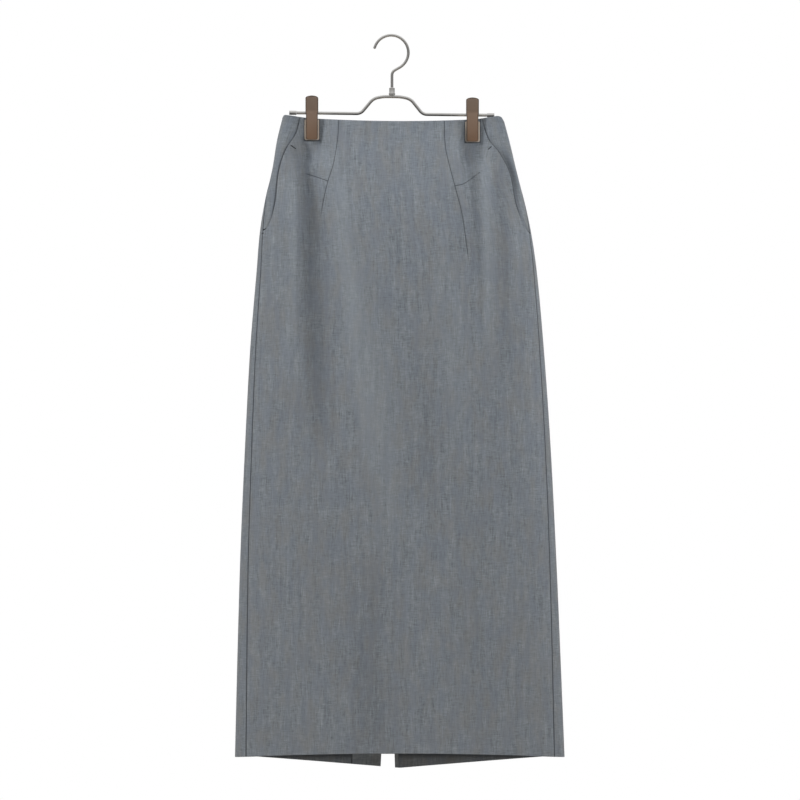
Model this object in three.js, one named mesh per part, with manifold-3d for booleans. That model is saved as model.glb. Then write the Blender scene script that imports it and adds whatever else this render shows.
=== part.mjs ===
// A long pencil skirt of grey suiting, hanging from the two clips of a metal hanger.
// Millimetres, +Z up, the skirt's front towards -Y, left and right as seen from the front.
// The origin is the point inside the top of the hook that rests on a rail,
// so a "drop" is always a distance below the rail.
import * as THREE from 'three';
import { mergeVertices } from 'three/addons/utils/BufferGeometryUtils.js';
import Module from 'manifold-3d';

const wasm = await Module();
wasm.setup();

// Driving dimensions
const CLOTH = 1.2; // suiting with its turned edges, as one wall
const SEAM_GAP = 0.3; // between two pieces that are sewn edge to edge
const LAYER_GAP = 0.35; // between two pieces that lie on each other
const WAIST_LEVEL = 120; // drops of the mean waist edge and the mean hem
const HEM_LEVEL = 1040;
const CLIP_X = { left: -114.8, right: 117.8 };
const PINNED = 3.1; // how far the cloth under a clip lies from the middle plane
const CLIP_GRIP_END = 154; // drop down to which a clip holds the cloth flat
const CLIP_FLAT = 11; // half the width that a clip holds flat

// Tables are lists of rows with named columns.
function table(columns, rows) {
  return rows.map((row) => Object.fromEntries(columns.map((name, i) => [name, row[i]])));
}

// How far each level section reaches left, right, forwards and back of the hook,
// and how full its ends are: 1 is an ellipse, and less is squarer.
const SECTIONS = table(
  ['drop', 'left', 'right', 'front', 'back', 'ends'],
  [
    [118, 158, 162.8, 14, 14, 0.55],
    [150, 165.8, 171.5, 25, 29, 0.62],
    [190, 172.3, 181, 39, 48, 0.7],
    [235, 182.2, 192.2, 51, 64, 0.78],
    [280, 189.8, 202, 59, 74, 0.84],
    [338, 194.8, 210.7, 64, 77, 0.88],
    [454, 204.3, 221.3, 66, 72, 0.92],
    [600, 212, 231.3, 66, 64, 0.95],
    [773, 219.2, 240, 66, 56, 0.97],
    [1062, 226.8, 252, 66, 50, 1],
  ],
);

// The waist edge, by how far across the section a point lies: -1 is the left end.
const WAIST_EDGE = table(
  ['across', 'drop'],
  [
    [-1, 118.5],
    [-0.965, 113.5],
    [-0.73, 118.3],
    [0, 122.3],
    [0.72, 119.8],
    [0.94, 115.2],
    [1, 121],
  ],
);
const FRONT_HEM = 1036.5;
const SIDE_HEM = 1043;
const BACK_HEM = 1060.5;
const BACK_HEM_LEVEL_FROM = 0.88; // share across at which the back hem meets the side

// The side seams, in degrees from the ends of the section towards the front.
const SIDE_SEAMS = table(
  ['drop', 'left', 'right'],
  [
    [113, -12, -12],
    [185, -6, -6],
    [224, 0, -2],
    [250, 8, 3],
    [300, 13, 10.5],
    [454, 16, 14],
    [760, 18.7, 17],
    [1043, 21.4, 20.5],
  ],
);

// The pocket mouths: the front panel's edge over the hip panels.
const POCKETS = {
  left: table(
    ['drop', 'x'],
    [
      [116, -130.8],
      [141, -138],
      [165, -152.8],
      [196, -162.5],
      [236, -167],
      [265, -172.3],
      [291, -186],
    ],
  ),
  right: table(
    ['drop', 'x'],
    [
      [116, 129.6],
      [149, 140.7],
      [168.5, 156.2],
      [198, 171.1],
      [241, 179.5],
      [269, 189],
      [291, 199.5],
    ],
  ),
};
const POCKET_END = 284;
const UNDERLAP = { atWaist: 1.4, below: 16, fullFrom: 175 };

// The curved front darts, from the waist down.
const DARTS = {
  left: table(
    ['drop', 'x'],
    [
      [118, -75.6],
      [145, -77.1],
      [184, -83.5],
      [209.8, -91.4],
      [241, -98.5],
      [262, -101.2],
    ],
  ),
  right: table(
    ['drop', 'x'],
    [
      [118, 77.2],
      [145, 77.3],
      [168.5, 79.9],
      [216.9, 92.1],
      [255, 101.8],
      [301, 108.3],
    ],
  ),
};

// The short darts that run up and out from the front darts towards the hip bones.
const CROSS_DARTS = {
  left: table(
    ['x', 'drop'],
    [
      [-123.7, 198.5],
      [-106.9, 204],
      [-91.4, 209.8],
    ],
  ),
  right: table(
    ['x', 'drop'],
    [
      [92.1, 216.9],
      [104.4, 213.7],
      [116.1, 206],
      [130.9, 194.3],
    ],
  ),
};
const BACK_DART = { x: 66, leanOut: 0.05, top: 118, end: 246 };
const GROOVE = { depth: 0.7, halfWidth: 1.3, fade: 22, pastCross: 4 };

// The troughs that the clips leave, front and back: where they run, how wide, how deep.
const TROUGHS = table(
  ['drop', 'leftX', 'rightX', 'flat', 'leftFall', 'rightFall', 'frontLeft', 'frontRight', 'back'],
  [
    [118, -114.8, 117.8, 12.5, 26, 26, 16, 16, 16],
    [155, -114.8, 117.8, 12.5, 26, 26, 16, 15, 16],
    [190, -110.5, 119.5, 7, 33, 27, 15, 12.5, 12],
    [230, -105, 122, 3, 38, 29, 14.5, 10.5, 9],
    [280, -97, 127, 2, 44, 32, 13, 9, 6.5],
    [340, -89, 133, 2, 50, 36, 10, 6, 4],
    [430, -80, 139, 2, 58, 42, 6, 3, 1.5],
    [540, -74, 142, 2, 64, 46, 2.5, 1, 0],
    [660, -70, 145, 2, 66, 50, 0, 0, 0],
  ],
);
const GRIP_RELEASE = 42; // height over which the cloth leaves a clip's grip

// Long soft folds: a line from top to end, its half width, and its height, below 0 for a trough.
const SOFT_FOLDS = table(
  ['side', 'topX', 'topDrop', 'endX', 'endDrop', 'halfWidth', 'height'],
  [
    ['front', -14, 430, 108, 850, 40, -2.4],
    ['front', 142, 175, 160, 470, 17, 3.2],
    ['front', -38, 300, -60, 760, 34, 2],
    ['front', 64, 330, 62, 700, 34, 1.6],
    ['front', -150, 560, -166, 1030, 36, 1.8],
    ['back', -8, 330, -78, 900, 46, -2.8],
    ['back', 92, 300, 70, 980, 42, -2.2],
    ['back', -150, 420, -128, 1000, 34, 2],
    ['back', 156, 480, 170, 1020, 34, 1.6],
  ],
);

// The centre back: a seam with a concealed zip above and a slit below.
const CENTRE_BACK = { atWaist: 2, atHem: -4.8 };
const SLIT = { top: 745, openAtHem: 21, facing: { left: 42, right: 6 }, facingRise: 25 };
const ZIP = { tapeHalf: 12, end: 315, tape: 1, drop: 136 };
const HIP_DIP = { left: 0.8, right: 4.2, top: 140, end: 255 }; // the pocket mouths gape a little

// Rows down the cloth, as drops at the mean waist and hem. The front's cross darts lie on CROSS_ROW.
const CROSS_ROW = 210;
const CROSS_REACH = 88; // how far above and below it the rows still swing
const CROSS_START = 8; // how far inside the front dart they begin to swing
const CROSS_FADE = 26; // and over what width they come level again towards the pocket
const ROWS = [
  120, 128, 136, 145, 154, 165, 178, 190, 200, 210, 222, 236, 252, 270, 284, 286, 315, 345, 385,
  430, 490, 560, 640, 720, 745, 770, 820, 880, 960, 1010, 1040,
];

const clamp = (value, low, high) => Math.min(Math.max(value, low), high);
const mix = (a, b, share) => a + (b - a) * share;
const radians = THREE.MathUtils.degToRad;
const step = (value, from, to) => THREE.MathUtils.smoothstep(value, from, to);

// A smooth curve through the rows of a table, held level past its ends.
function curve(rows, along, value) {
  const t = rows.map((row) => row[along]);
  const v = rows.map((row) => row[value]);
  const last = t.length - 1;
  const slope = t.map((_, i) => {
    const a = Math.max(i - 1, 0);
    const b = Math.min(i + 1, last);
    return (v[b] - v[a]) / (t[b] - t[a]);
  });
  return (at) => {
    const x = clamp(at, t[0], t[last]);
    let i = 0;
    while (i < last - 1 && x > t[i + 1]) i += 1;
    const h = t[i + 1] - t[i];
    const s = (x - t[i]) / h;
    const bend = s * (s - 1);
    return (
      mix(v[i], v[i + 1], s * s * (3 - 2 * s)) +
      h * bend * ((s - 1) * slope[i] + s * slope[i + 1])
    );
  };
}

const section = {};
for (const column of ['left', 'right', 'front', 'back', 'ends']) {
  section[column] = curve(SECTIONS, 'drop', column);
}
const trough = {};
for (const column of Object.keys(TROUGHS[0])) {
  trough[column] = curve(TROUGHS, 'drop', column);
}
const waistEdge = curve(WAIST_EDGE, 'across', 'drop');
const seamLean = {
  left: curve(SIDE_SEAMS, 'drop', 'left'),
  right: curve(SIDE_SEAMS, 'drop', 'right'),
};
const pocketX = {
  left: curve(POCKETS.left, 'drop', 'x'),
  right: curve(POCKETS.right, 'drop', 'x'),
};
const dartX = {
  left: curve(DARTS.left, 'drop', 'x'),
  right: curve(DARTS.right, 'drop', 'x'),
};
const crossDrop = {
  left: curve(CROSS_DARTS.left, 'x', 'drop'),
  right: curve(CROSS_DARTS.right, 'x', 'drop'),
};

// A "turn" goes round the skirt in degrees: 0 is the right end, 90 the centre back,
// 180 the left end and 270 the centre front.
const middle = (drop) => (section.right(drop) - section.left(drop)) / 2;
const halfWidth = (drop) => (section.right(drop) + section.left(drop)) / 2;
const across = (x, drop) => clamp((x - middle(drop)) / halfWidth(drop), -1, 1);
const frontTurn = (x, drop) => 360 - THREE.MathUtils.radToDeg(Math.acos(across(x, drop)));
const backTurn = (x, drop) => THREE.MathUtils.radToDeg(Math.acos(across(x, drop)));

// How strongly a trough or clip pulls at a distance from its line: 1 on its flat, 0 past its fall.
function pull(distance, flat, fall) {
  return 1 - step(Math.abs(distance), flat, flat + fall);
}

function softFolds(side, x, drop) {
  let height = 0;
  for (const fold of SOFT_FOLDS) {
    if (fold.side !== side) continue;
    const run = clamp((drop - fold.topDrop) / (fold.endDrop - fold.topDrop), 0, 1);
    const fade = Math.sin(Math.PI * run) ** 0.8;
    const off = (x - mix(fold.topX, fold.endX, run)) / fold.halfWidth;
    height += fold.height * fade * Math.exp(-off * off);
  }
  return height;
}

const FRONT_TROUGH = { left: 'frontLeft', right: 'frontRight' };

// The cloth's outer face at a turn and a drop.
function skin(turn, drop) {
  const cos = Math.cos(radians(turn));
  const sin = Math.sin(radians(turn));
  const side = sin < 0 ? 'front' : 'back';
  const x = middle(drop) + halfWidth(drop) * cos;
  const bulge = section[side](drop) * Math.abs(sin) ** section.ends(drop);
  const gripped = 1 - step(drop, CLIP_GRIP_END, CLIP_GRIP_END + GRIP_RELEASE);
  const reach = Math.max(bulge - PINNED, 0);
  let depth = bulge;
  for (const hand of ['left', 'right']) {
    const centre = trough[`${hand}X`](drop);
    const share = pull(x - centre, trough.flat(drop), trough[`${hand}Fall`](drop));
    const deep = trough[side === 'back' ? 'back' : FRONT_TROUGH[hand]](drop);
    depth -= share * mix(Math.min(deep, reach), reach, gripped);
  }
  depth += softFolds(side, x, drop) * Math.abs(sin);
  return new THREE.Vector3(x, Math.sign(sin) * depth, -drop);
}

function outward(turn, drop) {
  const round = skin(turn + 0.3, drop).sub(skin(turn - 0.3, drop));
  const down = skin(turn, drop + 0.5).sub(skin(turn, drop - 0.5));
  return down.cross(round).normalize();
}

// Where a share of the way from the waist edge to the hem lies at a turn.
function edgeDrops(turn) {
  const cos = Math.cos(radians(turn));
  const reach = Math.abs(cos);
  const isFront = Math.sin(radians(turn)) < 0;
  const front = mix(FRONT_HEM, SIDE_HEM, reach ** 2);
  const back = mix(BACK_HEM, SIDE_HEM, Math.min(reach / BACK_HEM_LEVEL_FROM, 1));
  return { waist: waistEdge(cos), hem: isFront ? front : back };
}
const dropAt = (turn, share) => mix(edgeDrops(turn).waist, edgeDrops(turn).hem, share);
const shareAt = (turn, drop) =>
  (drop - edgeDrops(turn).waist) / (edgeDrops(turn).hem - edgeDrops(turn).waist);
const rowShare = (row) => (row - WAIST_LEVEL) / (HEM_LEVEL - WAIST_LEVEL);

// Moves a column, a function from drop to turn, round the skirt by a distance over the cloth.
function shifted(column, distance) {
  return (drop) => {
    const turn = column(drop);
    const speed = skin(turn + 0.2, drop).distanceTo(skin(turn - 0.2, drop)) / 0.4;
    return turn + distance / speed;
  };
}
function between(a, b, count) {
  const made = [];
  for (let i = 1; i < count; i += 1) {
    made.push((drop, row) => mix(a(drop, row), b(drop, row), i / count));
  }
  return made;
}

// The columns on both sides of a clip stay beside it, and spread out evenly below.
function besideClip(hand, toTurn, inner, outer, shares) {
  const outwards = Math.sign(CLIP_X[hand]);
  return shares.map((share, i) => (drop, row) => {
    const side = i === 0 ? -1 : 1;
    const held = toTurn(CLIP_X[hand] + outwards * side * CLIP_FLAT, drop);
    const spread = mix(inner(drop, row), outer(drop, row), share);
    return mix(held, spread, step(drop, CLIP_GRIP_END + 4, 235));
  });
}

// The depth of the seam lines sunk into the outer face: the front's darts or the back's.
function grooveDepth(turn, drop) {
  const x = skin(turn, drop).x;
  const isFront = Math.sin(radians(turn)) < 0;
  let depth = 0;
  const press = (distance, left) => {
    const near = 1 - Math.abs(distance) / GROOVE.halfWidth;
    depth = Math.max(depth, GROOVE.depth * clamp(near, 0, 1) * clamp(left / GROOVE.fade, 0, 1));
  };
  if (!isFront) {
    press(Math.abs(x - CENTRE_BACK.atWaist) - backDartOut(drop), BACK_DART.end - drop);
    return depth;
  }
  for (const hand of ['left', 'right']) {
    press(x - dartX[hand](drop), DARTS[hand].at(-1).drop - drop);
    const beyond = Math.abs(x) > Math.abs(dartX[hand](drop)) && (x < 0) === (hand === 'left');
    if (beyond) press(drop - crossDrop[hand](x), crossEnd(hand) + GROOVE.pastCross - Math.abs(x));
  }
  return depth;
}
const crossEnd = (hand) => Math.max(...CROSS_DARTS[hand].map((point) => Math.abs(point.x)));
const backDartOut = (drop) => BACK_DART.x + BACK_DART.leanOut * (drop - BACK_DART.top);

// On the front, rows near CROSS_ROW swing up so that one runs along each cross dart.
function frontShare(turn, row) {
  const share = rowShare(row);
  const near = 1 - Math.max(Math.abs(row - CROSS_ROW) - GROOVE.halfWidth, 0) / CROSS_REACH;
  if (near <= 0) return share;
  const x = skin(turn, row).x;
  const hand = x < 0 ? 'left' : 'right';
  const inner = Math.abs(dartX[hand](row)) - CROSS_START;
  const outer = Math.abs(pocketX[hand](row)) - UNDERLAP.below;
  if (Math.abs(x) < inner) return share;
  const fade = 1 - step(Math.abs(x), Math.min(crossEnd(hand), outer - CROSS_FADE), outer);
  const wanted = shareAt(turn, crossDrop[hand](x));
  const swing = wanted - rowShare(CROSS_ROW);
  return share + swing * near * fade * step(Math.abs(x), inner, inner + CROSS_START);
}

// A column leans with the drop and a row with the turn, so their meeting point is found in passes.
const SETTLING_PASSES = 16;

// A closed wall of cloth. Columns are functions from drop and row to turn, rows are in ROWS' terms,
// sink(column, drop) moves the whole wall in, and a groove is only in its outer face.
function clothWall({ columns, rows, thickness = CLOTH, sink = () => 0, groove, share }) {
  const outer = [];
  const inner = [];
  rows.forEach((row) => {
    columns.forEach((column, i) => {
      let drop = row;
      let turn = column(drop, row);
      for (let pass = 0; pass < SETTLING_PASSES; pass += 1) {
        drop = dropAt(turn, share ? share(turn, row) : rowShare(row));
        turn = column(drop, row);
      }
      const out = outward(turn, drop);
      const base = skin(turn, drop).addScaledVector(out, -sink(i, drop));
      outer.push(base.clone().addScaledVector(out, groove ? -groove(turn, drop) : 0));
      inner.push(base.addScaledVector(out, -thickness));
    });
  });
  return gridSolid(outer, inner, columns.length, rows.length);
}

// Joins two like grids of points, an outer and an inner one, into a closed solid.
function gridSolid(outer, inner, wide, tall) {
  const faces = [];
  const count = wide * tall;
  const quad = (a, b, c, d) => faces.push(a, b, c, a, c, d);
  for (let j = 0; j + 1 < tall; j += 1) {
    for (let i = 0; i + 1 < wide; i += 1) {
      const a = j * wide + i;
      quad(a, a + wide, a + wide + 1, a + 1);
      quad(count + a, count + a + 1, count + a + wide + 1, count + a + wide);
    }
  }
  const rim = [];
  for (let i = 0; i < wide; i += 1) rim.push(i);
  for (let j = 1; j < tall; j += 1) rim.push(j * wide + wide - 1);
  for (let i = wide - 2; i >= 0; i -= 1) rim.push((tall - 1) * wide + i);
  for (let j = tall - 2; j > 0; j -= 1) rim.push(j * wide);
  rim.forEach((a, k) => {
    const b = rim[(k + 1) % rim.length];
    quad(a, b, count + b, count + a);
  });
  const geometry = new THREE.BufferGeometry();
  const points = [...outer, ...inner].flatMap((p) => p.toArray());
  geometry.setAttribute('position', new THREE.Float32BufferAttribute(points, 3));
  geometry.setIndex(faces);
  geometry.computeVertexNormals();
  return geometry;
}

const colours = {
  suiting: new THREE.MeshStandardMaterial({ color: 0x7b8186, roughness: 0.92 }),
  zipTape: new THREE.MeshStandardMaterial({ color: 0x6c7176, roughness: 0.85 }),
  zipMetal: new THREE.MeshStandardMaterial({ color: 0x777c82, roughness: 0.4, metalness: 0.4 }),
  steel: new THREE.MeshStandardMaterial({ color: 0xb9b7b2, roughness: 0.25, metalness: 1 }),
  jaw: new THREE.MeshStandardMaterial({ color: 0x735f50, roughness: 0.5 }),
  jawPad: new THREE.MeshStandardMaterial({ color: 0xa89a8a, roughness: 0.7 }),
};
const root = new THREE.Group();
function add(name, geometry, material, parent = root) {
  const mesh = new THREE.Mesh(geometry, material);
  mesh.name = name;
  parent.add(mesh);
  return mesh;
}

const seamTurn = {
  left: (drop) => 180 + seamLean.left(drop),
  right: (drop) => 360 - seamLean.right(drop),
};
const pocketTurn = {
  left: (drop) => frontTurn(pocketX.left(drop), drop),
  right: (drop) => frontTurn(pocketX.right(drop), drop),
};
const underlap = (drop) =>
  mix(UNDERLAP.atWaist, UNDERLAP.below, step(drop, CLIP_GRIP_END - 20, UNDERLAP.fullFrom));

// The front panel: from pocket to pocket above, from side seam to side seam below.
function frontPanel() {
  const edge = {};
  const lap = {};
  for (const [hand, towardsCentre] of [['left', 1], ['right', -1]]) {
    const sewn = shifted(seamTurn[hand], (towardsCentre * SEAM_GAP) / 2);
    edge[hand] = (drop, row) => (row > POCKET_END ? sewn(drop) : pocketTurn[hand](drop));
    lap[hand] = [0.5, 1].map((share) => (drop, row) => {
      const edgeX = skin(edge[hand](drop, row), drop).x;
      return frontTurn(edgeX + towardsCentre * share * underlap(drop), drop);
    });
  }
  const dart = (hand, offset) => (drop) => frontTurn(dartX[hand](drop) + offset, drop);
  const dartColumns = (hand) =>
    [-1, 0, 1].map((side) => dart(hand, side * GROOVE.halfWidth));
  const leftDart = dartColumns('left');
  const rightDart = dartColumns('right');
  const leftClip = besideClip('left', frontTurn, leftDart[0], lap.left[1], [0.4, 0.7]);
  const rightClip = besideClip('right', frontTurn, rightDart[2], lap.right[1], [0.4, 0.7]);
  const columns = [
    edge.left,
    ...lap.left,
    leftClip[1],
    leftClip[0],
    ...between(leftClip[0], leftDart[0], 2),
    ...leftDart,
    ...between(leftDart[2], rightDart[0], 6),
    ...rightDart,
    ...between(rightDart[2], rightClip[0], 2),
    ...rightClip,
    lap.right[1],
    lap.right[0],
    edge.right,
  ];
  const shoulders = [CROSS_ROW - GROOVE.halfWidth, CROSS_ROW + GROOVE.halfWidth];
  const rows = [...ROWS, ...shoulders].sort((a, b) => a - b);
  return clothWall({ columns, rows, groove: grooveDepth, share: frontShare });
}
add('front_panel', frontPanel(), colours.suiting);

// A hip panel: the side of the skirt outside a pocket mouth, running on under the front's edge.
function hipPanel(hand) {
  const towardsCentre = hand === 'left' ? 1 : -1;
  const under = [1, 0.5].map(
    (share) => (drop) =>
      frontTurn(pocketX[hand](drop) + towardsCentre * share * underlap(drop), drop),
  );
  const seam = shifted(seamTurn[hand], (towardsCentre * SEAM_GAP) / 2);
  const steps = 6;
  const columns = [...under, pocketTurn[hand], ...between(pocketTurn[hand], seam, steps), seam];
  const rows = ROWS.filter((row) => row <= POCKET_END);
  const sink = (i, drop) => {
    const out = clamp((i - under.length) / steps, 0, 1);
    const gape = Math.sin(Math.PI * clamp((drop - HIP_DIP.top) / (HIP_DIP.end - HIP_DIP.top), 0, 1));
    const dip = HIP_DIP[hand] * gape * Math.sin(Math.PI * Math.min(out * 1.3, 1));
    return (CLOTH + LAYER_GAP) * (1 - step(out, 0, 0.6)) + dip;
  };
  if (hand === 'right') return clothWall({ columns, rows, sink });
  const last = columns.length - 1;
  return clothWall({ columns: columns.reverse(), rows, sink: (i, drop) => sink(last - i, drop) });
}
add('hip_panel_left', hipPanel('left'), colours.suiting);
add('hip_panel_right', hipPanel('right'), colours.suiting);

// The back panels meet at the centre back seam and part below it in the slit.
const centreBackX = (drop) =>
  mix(CENTRE_BACK.atWaist, CENTRE_BACK.atHem, rowShare(drop));
function slitGap(drop) {
  const run = clamp((drop - SLIT.top) / (BACK_HEM - SLIT.top), 0, 1);
  return SEAM_GAP + (SLIT.openAtHem - SEAM_GAP) * run ** 1.4;
}
const backX = (away) => (drop) => centreBackX(drop) + away * (slitGap(drop) / 2);
const backColumn = (hand, distance) => (drop) => {
  const outwards = hand === 'left' ? -1 : 1;
  return backTurn(backX(outwards)(drop) + outwards * distance, drop);
};
function backPanel(hand) {
  const outwards = hand === 'left' ? -1 : 1;
  const dartColumns = [-1, 0, 1].map((side) => (drop) => {
    const x = CENTRE_BACK.atWaist + outwards * backDartOut(drop) + outwards * side * GROOVE.halfWidth;
    return backTurn(x, drop);
  });
  const seamBehind = hand === 'left' ? seamTurn.left : (drop) => seamTurn.right(drop) - 360;
  const seam = shifted(seamBehind, (outwards * SEAM_GAP) / 2);
  const clip = besideClip(hand, backTurn, dartColumns[2], seam, [0.3, 0.5]);
  const columns = [
    backColumn(hand, 0),
    backColumn(hand, ZIP.tapeHalf),
    backColumn(hand, SLIT.facing.left),
    ...dartColumns,
    ...between(dartColumns[2], clip[0], 2),
    ...clip,
    ...between(clip[1], seam, 4),
    seam,
  ];
  if (hand === 'right') columns.reverse();
  return clothWall({ columns, rows: ROWS, groove: grooveDepth });
}
add('back_panel_left', backPanel('left'), colours.suiting);
add('back_panel_right', backPanel('right'), colours.suiting);

// The slit's edges are faced on the inside: wide on the left, a narrow turning on the right.
function slitFacing(hand) {
  const width = SLIT.facing[hand];
  const stops = width > ZIP.tapeHalf ? [0, ZIP.tapeHalf, width] : [0, width];
  const columns = stops.map((distance) => backColumn(hand, distance));
  if (hand === 'right') columns.reverse();
  const rows = ROWS.filter((row) => row >= SLIT.top - SLIT.facingRise);
  return clothWall({ columns, rows, thickness: 1, sink: () => CLOTH + LAYER_GAP });
}
add('slit_facing_left', slitFacing('left'), colours.suiting);
add('slit_facing_right', slitFacing('right'), colours.suiting);

// The concealed zip: its tape lies inside the centre back seam, its slider and pull outside.
function zipTape() {
  const columns = [-1, 0, 1].map((side) => (drop) =>
    backTurn(centreBackX(drop) + side * (ZIP.tapeHalf + SEAM_GAP / 2), drop),
  ).reverse();
  const rows = ROWS.filter((row) => row <= ZIP.end);
  return clothWall({ columns, rows, thickness: ZIP.tape, sink: () => CLOTH + LAYER_GAP });
}
add('zip_tape', zipTape(), colours.zipTape);

// Extrudes a flat shape to both sides of its plane, laid into the plane XZ or YZ.
const PLANES = {
  xz: new THREE.Matrix4().makeBasis(
    new THREE.Vector3(1, 0, 0),
    new THREE.Vector3(0, 0, 1),
    new THREE.Vector3(0, -1, 0),
  ),
  yz: new THREE.Matrix4().makeBasis(
    new THREE.Vector3(0, 1, 0),
    new THREE.Vector3(0, 0, 1),
    new THREE.Vector3(1, 0, 0),
  ),
};
function slab(shape, depth, plane, curveSegments = 6) {
  const geometry = new THREE.ExtrudeGeometry(shape, { depth, bevelEnabled: false, curveSegments });
  return geometry.translate(0, 0, -depth / 2).applyMatrix4(PLANES[plane]);
}
function toSolid(geometry) {
  const bare = geometry.clone();
  bare.deleteAttribute('normal');
  bare.deleteAttribute('uv');
  const merged = mergeVertices(bare, 1e-4);
  return new wasm.Manifold(
    new wasm.Mesh({
      numProp: 3,
      vertProperties: merged.attributes.position.array,
      triVerts: new Uint32Array(merged.index.array),
    }),
  );
}
function toGeometry(solid) {
  const mesh = solid.getMesh();
  const geometry = new THREE.BufferGeometry();
  geometry.setAttribute('position', new THREE.Float32BufferAttribute(mesh.vertProperties, 3));
  geometry.setIndex([...mesh.triVerts]);
  geometry.computeVertexNormals();
  return geometry;
}
// A rectangle with round corners, from its low corner to its high corner.
function roundedRectangle([x0, y0], [x1, y1], low, high = low) {
  const shape = new THREE.Shape();
  shape.moveTo(x0 + low, y0);
  shape.lineTo(x1 - low, y0);
  shape.absarc(x1 - low, y0 + low, low, -Math.PI / 2, 0);
  shape.lineTo(x1, y1 - high);
  shape.absarc(x1 - high, y1 - high, high, 0, Math.PI / 2);
  shape.lineTo(x0 + high, y1);
  shape.absarc(x0 + high, y1 - high, high, Math.PI / 2, Math.PI);
  shape.lineTo(x0, y0 + low);
  shape.absarc(x0 + low, y0 + low, low, Math.PI, Math.PI * 1.5);
  return shape;
}

// The slider's plate lies on the seam and carries an arch, and the pull swings on its own bar
// inside the arch. Both are drawn upright and then leaned to the slope of the cloth.
const SLIDER = { width: 6, height: 9, plate: 1.4, archHalf: 0.8, archInner: 1.4, archOuter: 2.4 };
const PULL = { thick: 1.2, bar: 0.7, slotHalf: 1.5, slotEnd: 3.4, length: 17, leanIn: 5 };
const PULL_HALVES = { shoulder: 3, neck: 1.9, tail: 2.9 }; // half widths down the pull
const PIVOT_OUT = LAYER_GAP + SLIDER.plate + 1.15; // the middle of the pull's bar from the cloth
const zipTurn = backTurn(centreBackX(ZIP.drop), ZIP.drop);
const zipPlace = skin(zipTurn, ZIP.drop);
const zipOut = outward(zipTurn, ZIP.drop);
const zipLean = Math.atan2(zipOut.z, zipOut.y);

const zip = new THREE.Group();
zip.position.copy(zipPlace);
zip.rotation.x = zipLean;
root.add(zip);

function zipSlider() {
  const half = SLIDER.height / 2;
  const outline = roundedRectangle([-SLIDER.width / 2, -half], [SLIDER.width / 2, half], 2.2, 1.4);
  const plate = slab(outline, SLIDER.plate, 'xz', 4)
    .translate(0, LAYER_GAP + SLIDER.plate / 2, 0);
  const ring = new THREE.Shape().absarc(PIVOT_OUT, 0, SLIDER.archOuter, 0, Math.PI * 2);
  ring.holes.push(new THREE.Path().absarc(PIVOT_OUT, 0, SLIDER.archInner, 0, Math.PI * 2));
  const arch = slab(ring, SLIDER.archHalf * 2, 'yz', 20);
  return toGeometry(toSolid(plate).add(toSolid(arch)));
}
add('zip_slider', zipSlider(), colours.zipMetal, zip);

function zipPull() {
  const { shoulder, neck, tail } = PULL_HALVES;
  const shape = new THREE.Shape();
  shape.moveTo(-shoulder, PULL.bar);
  shape.lineTo(-shoulder, -4);
  shape.quadraticCurveTo(-shoulder, -5.5, -neck, -7);
  shape.quadraticCurveTo(-tail, -10, -tail, -PULL.length + tail);
  shape.absarc(0, -PULL.length + tail, tail, Math.PI, Math.PI * 2);
  shape.quadraticCurveTo(tail, -10, neck, -7);
  shape.quadraticCurveTo(shoulder, -5.5, shoulder, -4);
  shape.lineTo(shoulder, PULL.bar);
  shape.closePath();
  const slot = new THREE.Path();
  slot.moveTo(-PULL.slotHalf, -PULL.bar);
  slot.lineTo(PULL.slotHalf, -PULL.bar);
  slot.lineTo(PULL.slotHalf, -PULL.slotEnd);
  slot.lineTo(-PULL.slotHalf, -PULL.slotEnd);
  slot.closePath();
  shape.holes.push(slot);
  return slab(shape, PULL.thick, 'xz', 5);
}
const pullMesh = add('zip_pull', zipPull(), colours.zipMetal, zip);
pullMesh.position.y = PIVOT_OUT;
pullMesh.rotation.x = -radians(PULL.leanIn);

// The hanger. Its hook is round wire bent in the plane XZ.
const HOOK = {
  wire: 4,
  innerRadius: 22.9,
  tipTurn: 168,
  leaveTurn: -60,
  shankX: 1.2,
  shankEnd: 73.7,
  bend: 5,
};
const BAR = { rod: 4.5, halfLength: 137.6, armDrop: 112, crestDrop: 86.9, tilt: -0.7, bend: 6.4 };
const CREST = { halfLevel: 13, shoulder: 27, shoulderDown: 3.2, foot: 45 }; // along the bar's rise
const CAP = { length: 10.6, radius: 3 };
const FERRULE = { radius: 4, top: 74, collar: 4.6, collarHeight: 2.4 };
const WIRE_SIDES = 12;

// An arc in the plane XZ, from one angle to another in degrees.
class FlatArc extends THREE.Curve {
  constructor(centre, radius, from, to) {
    super();
    Object.assign(this, { centre, radius, from, to });
  }
  getPoint(t, target = new THREE.Vector3()) {
    const angle = radians(mix(this.from, this.to, t));
    return target.set(
      this.centre.x + this.radius * Math.cos(angle),
      0,
      this.centre.z + this.radius * Math.sin(angle),
    );
  }
}
// A line through corners that are rounded by quadratic bends.
function bentLine(corners, bend) {
  const path = new THREE.CurvePath();
  let from = corners[0];
  for (let i = 1; i + 1 < corners.length; i += 1) {
    const corner = corners[i];
    const before = corner.clone().add(from.clone().sub(corner).setLength(bend));
    const after = corner.clone().add(corners[i + 1].clone().sub(corner).setLength(bend));
    path.add(new THREE.LineCurve3(from, before));
    path.add(new THREE.QuadraticBezierCurve3(before, corner, after));
    from = after;
  }
  path.add(new THREE.LineCurve3(from, corners.at(-1)));
  return path;
}
function wireAlong(path, diameter, steps) {
  const ring = new THREE.Shape().absarc(0, 0, diameter / 2, 0, Math.PI * 2);
  return new THREE.ExtrudeGeometry(ring, {
    steps,
    curveSegments: WIRE_SIDES / 2,
    extrudePath: path,
  });
}
const flat = (x, z) => new THREE.Vector3(x, 0, z);

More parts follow.
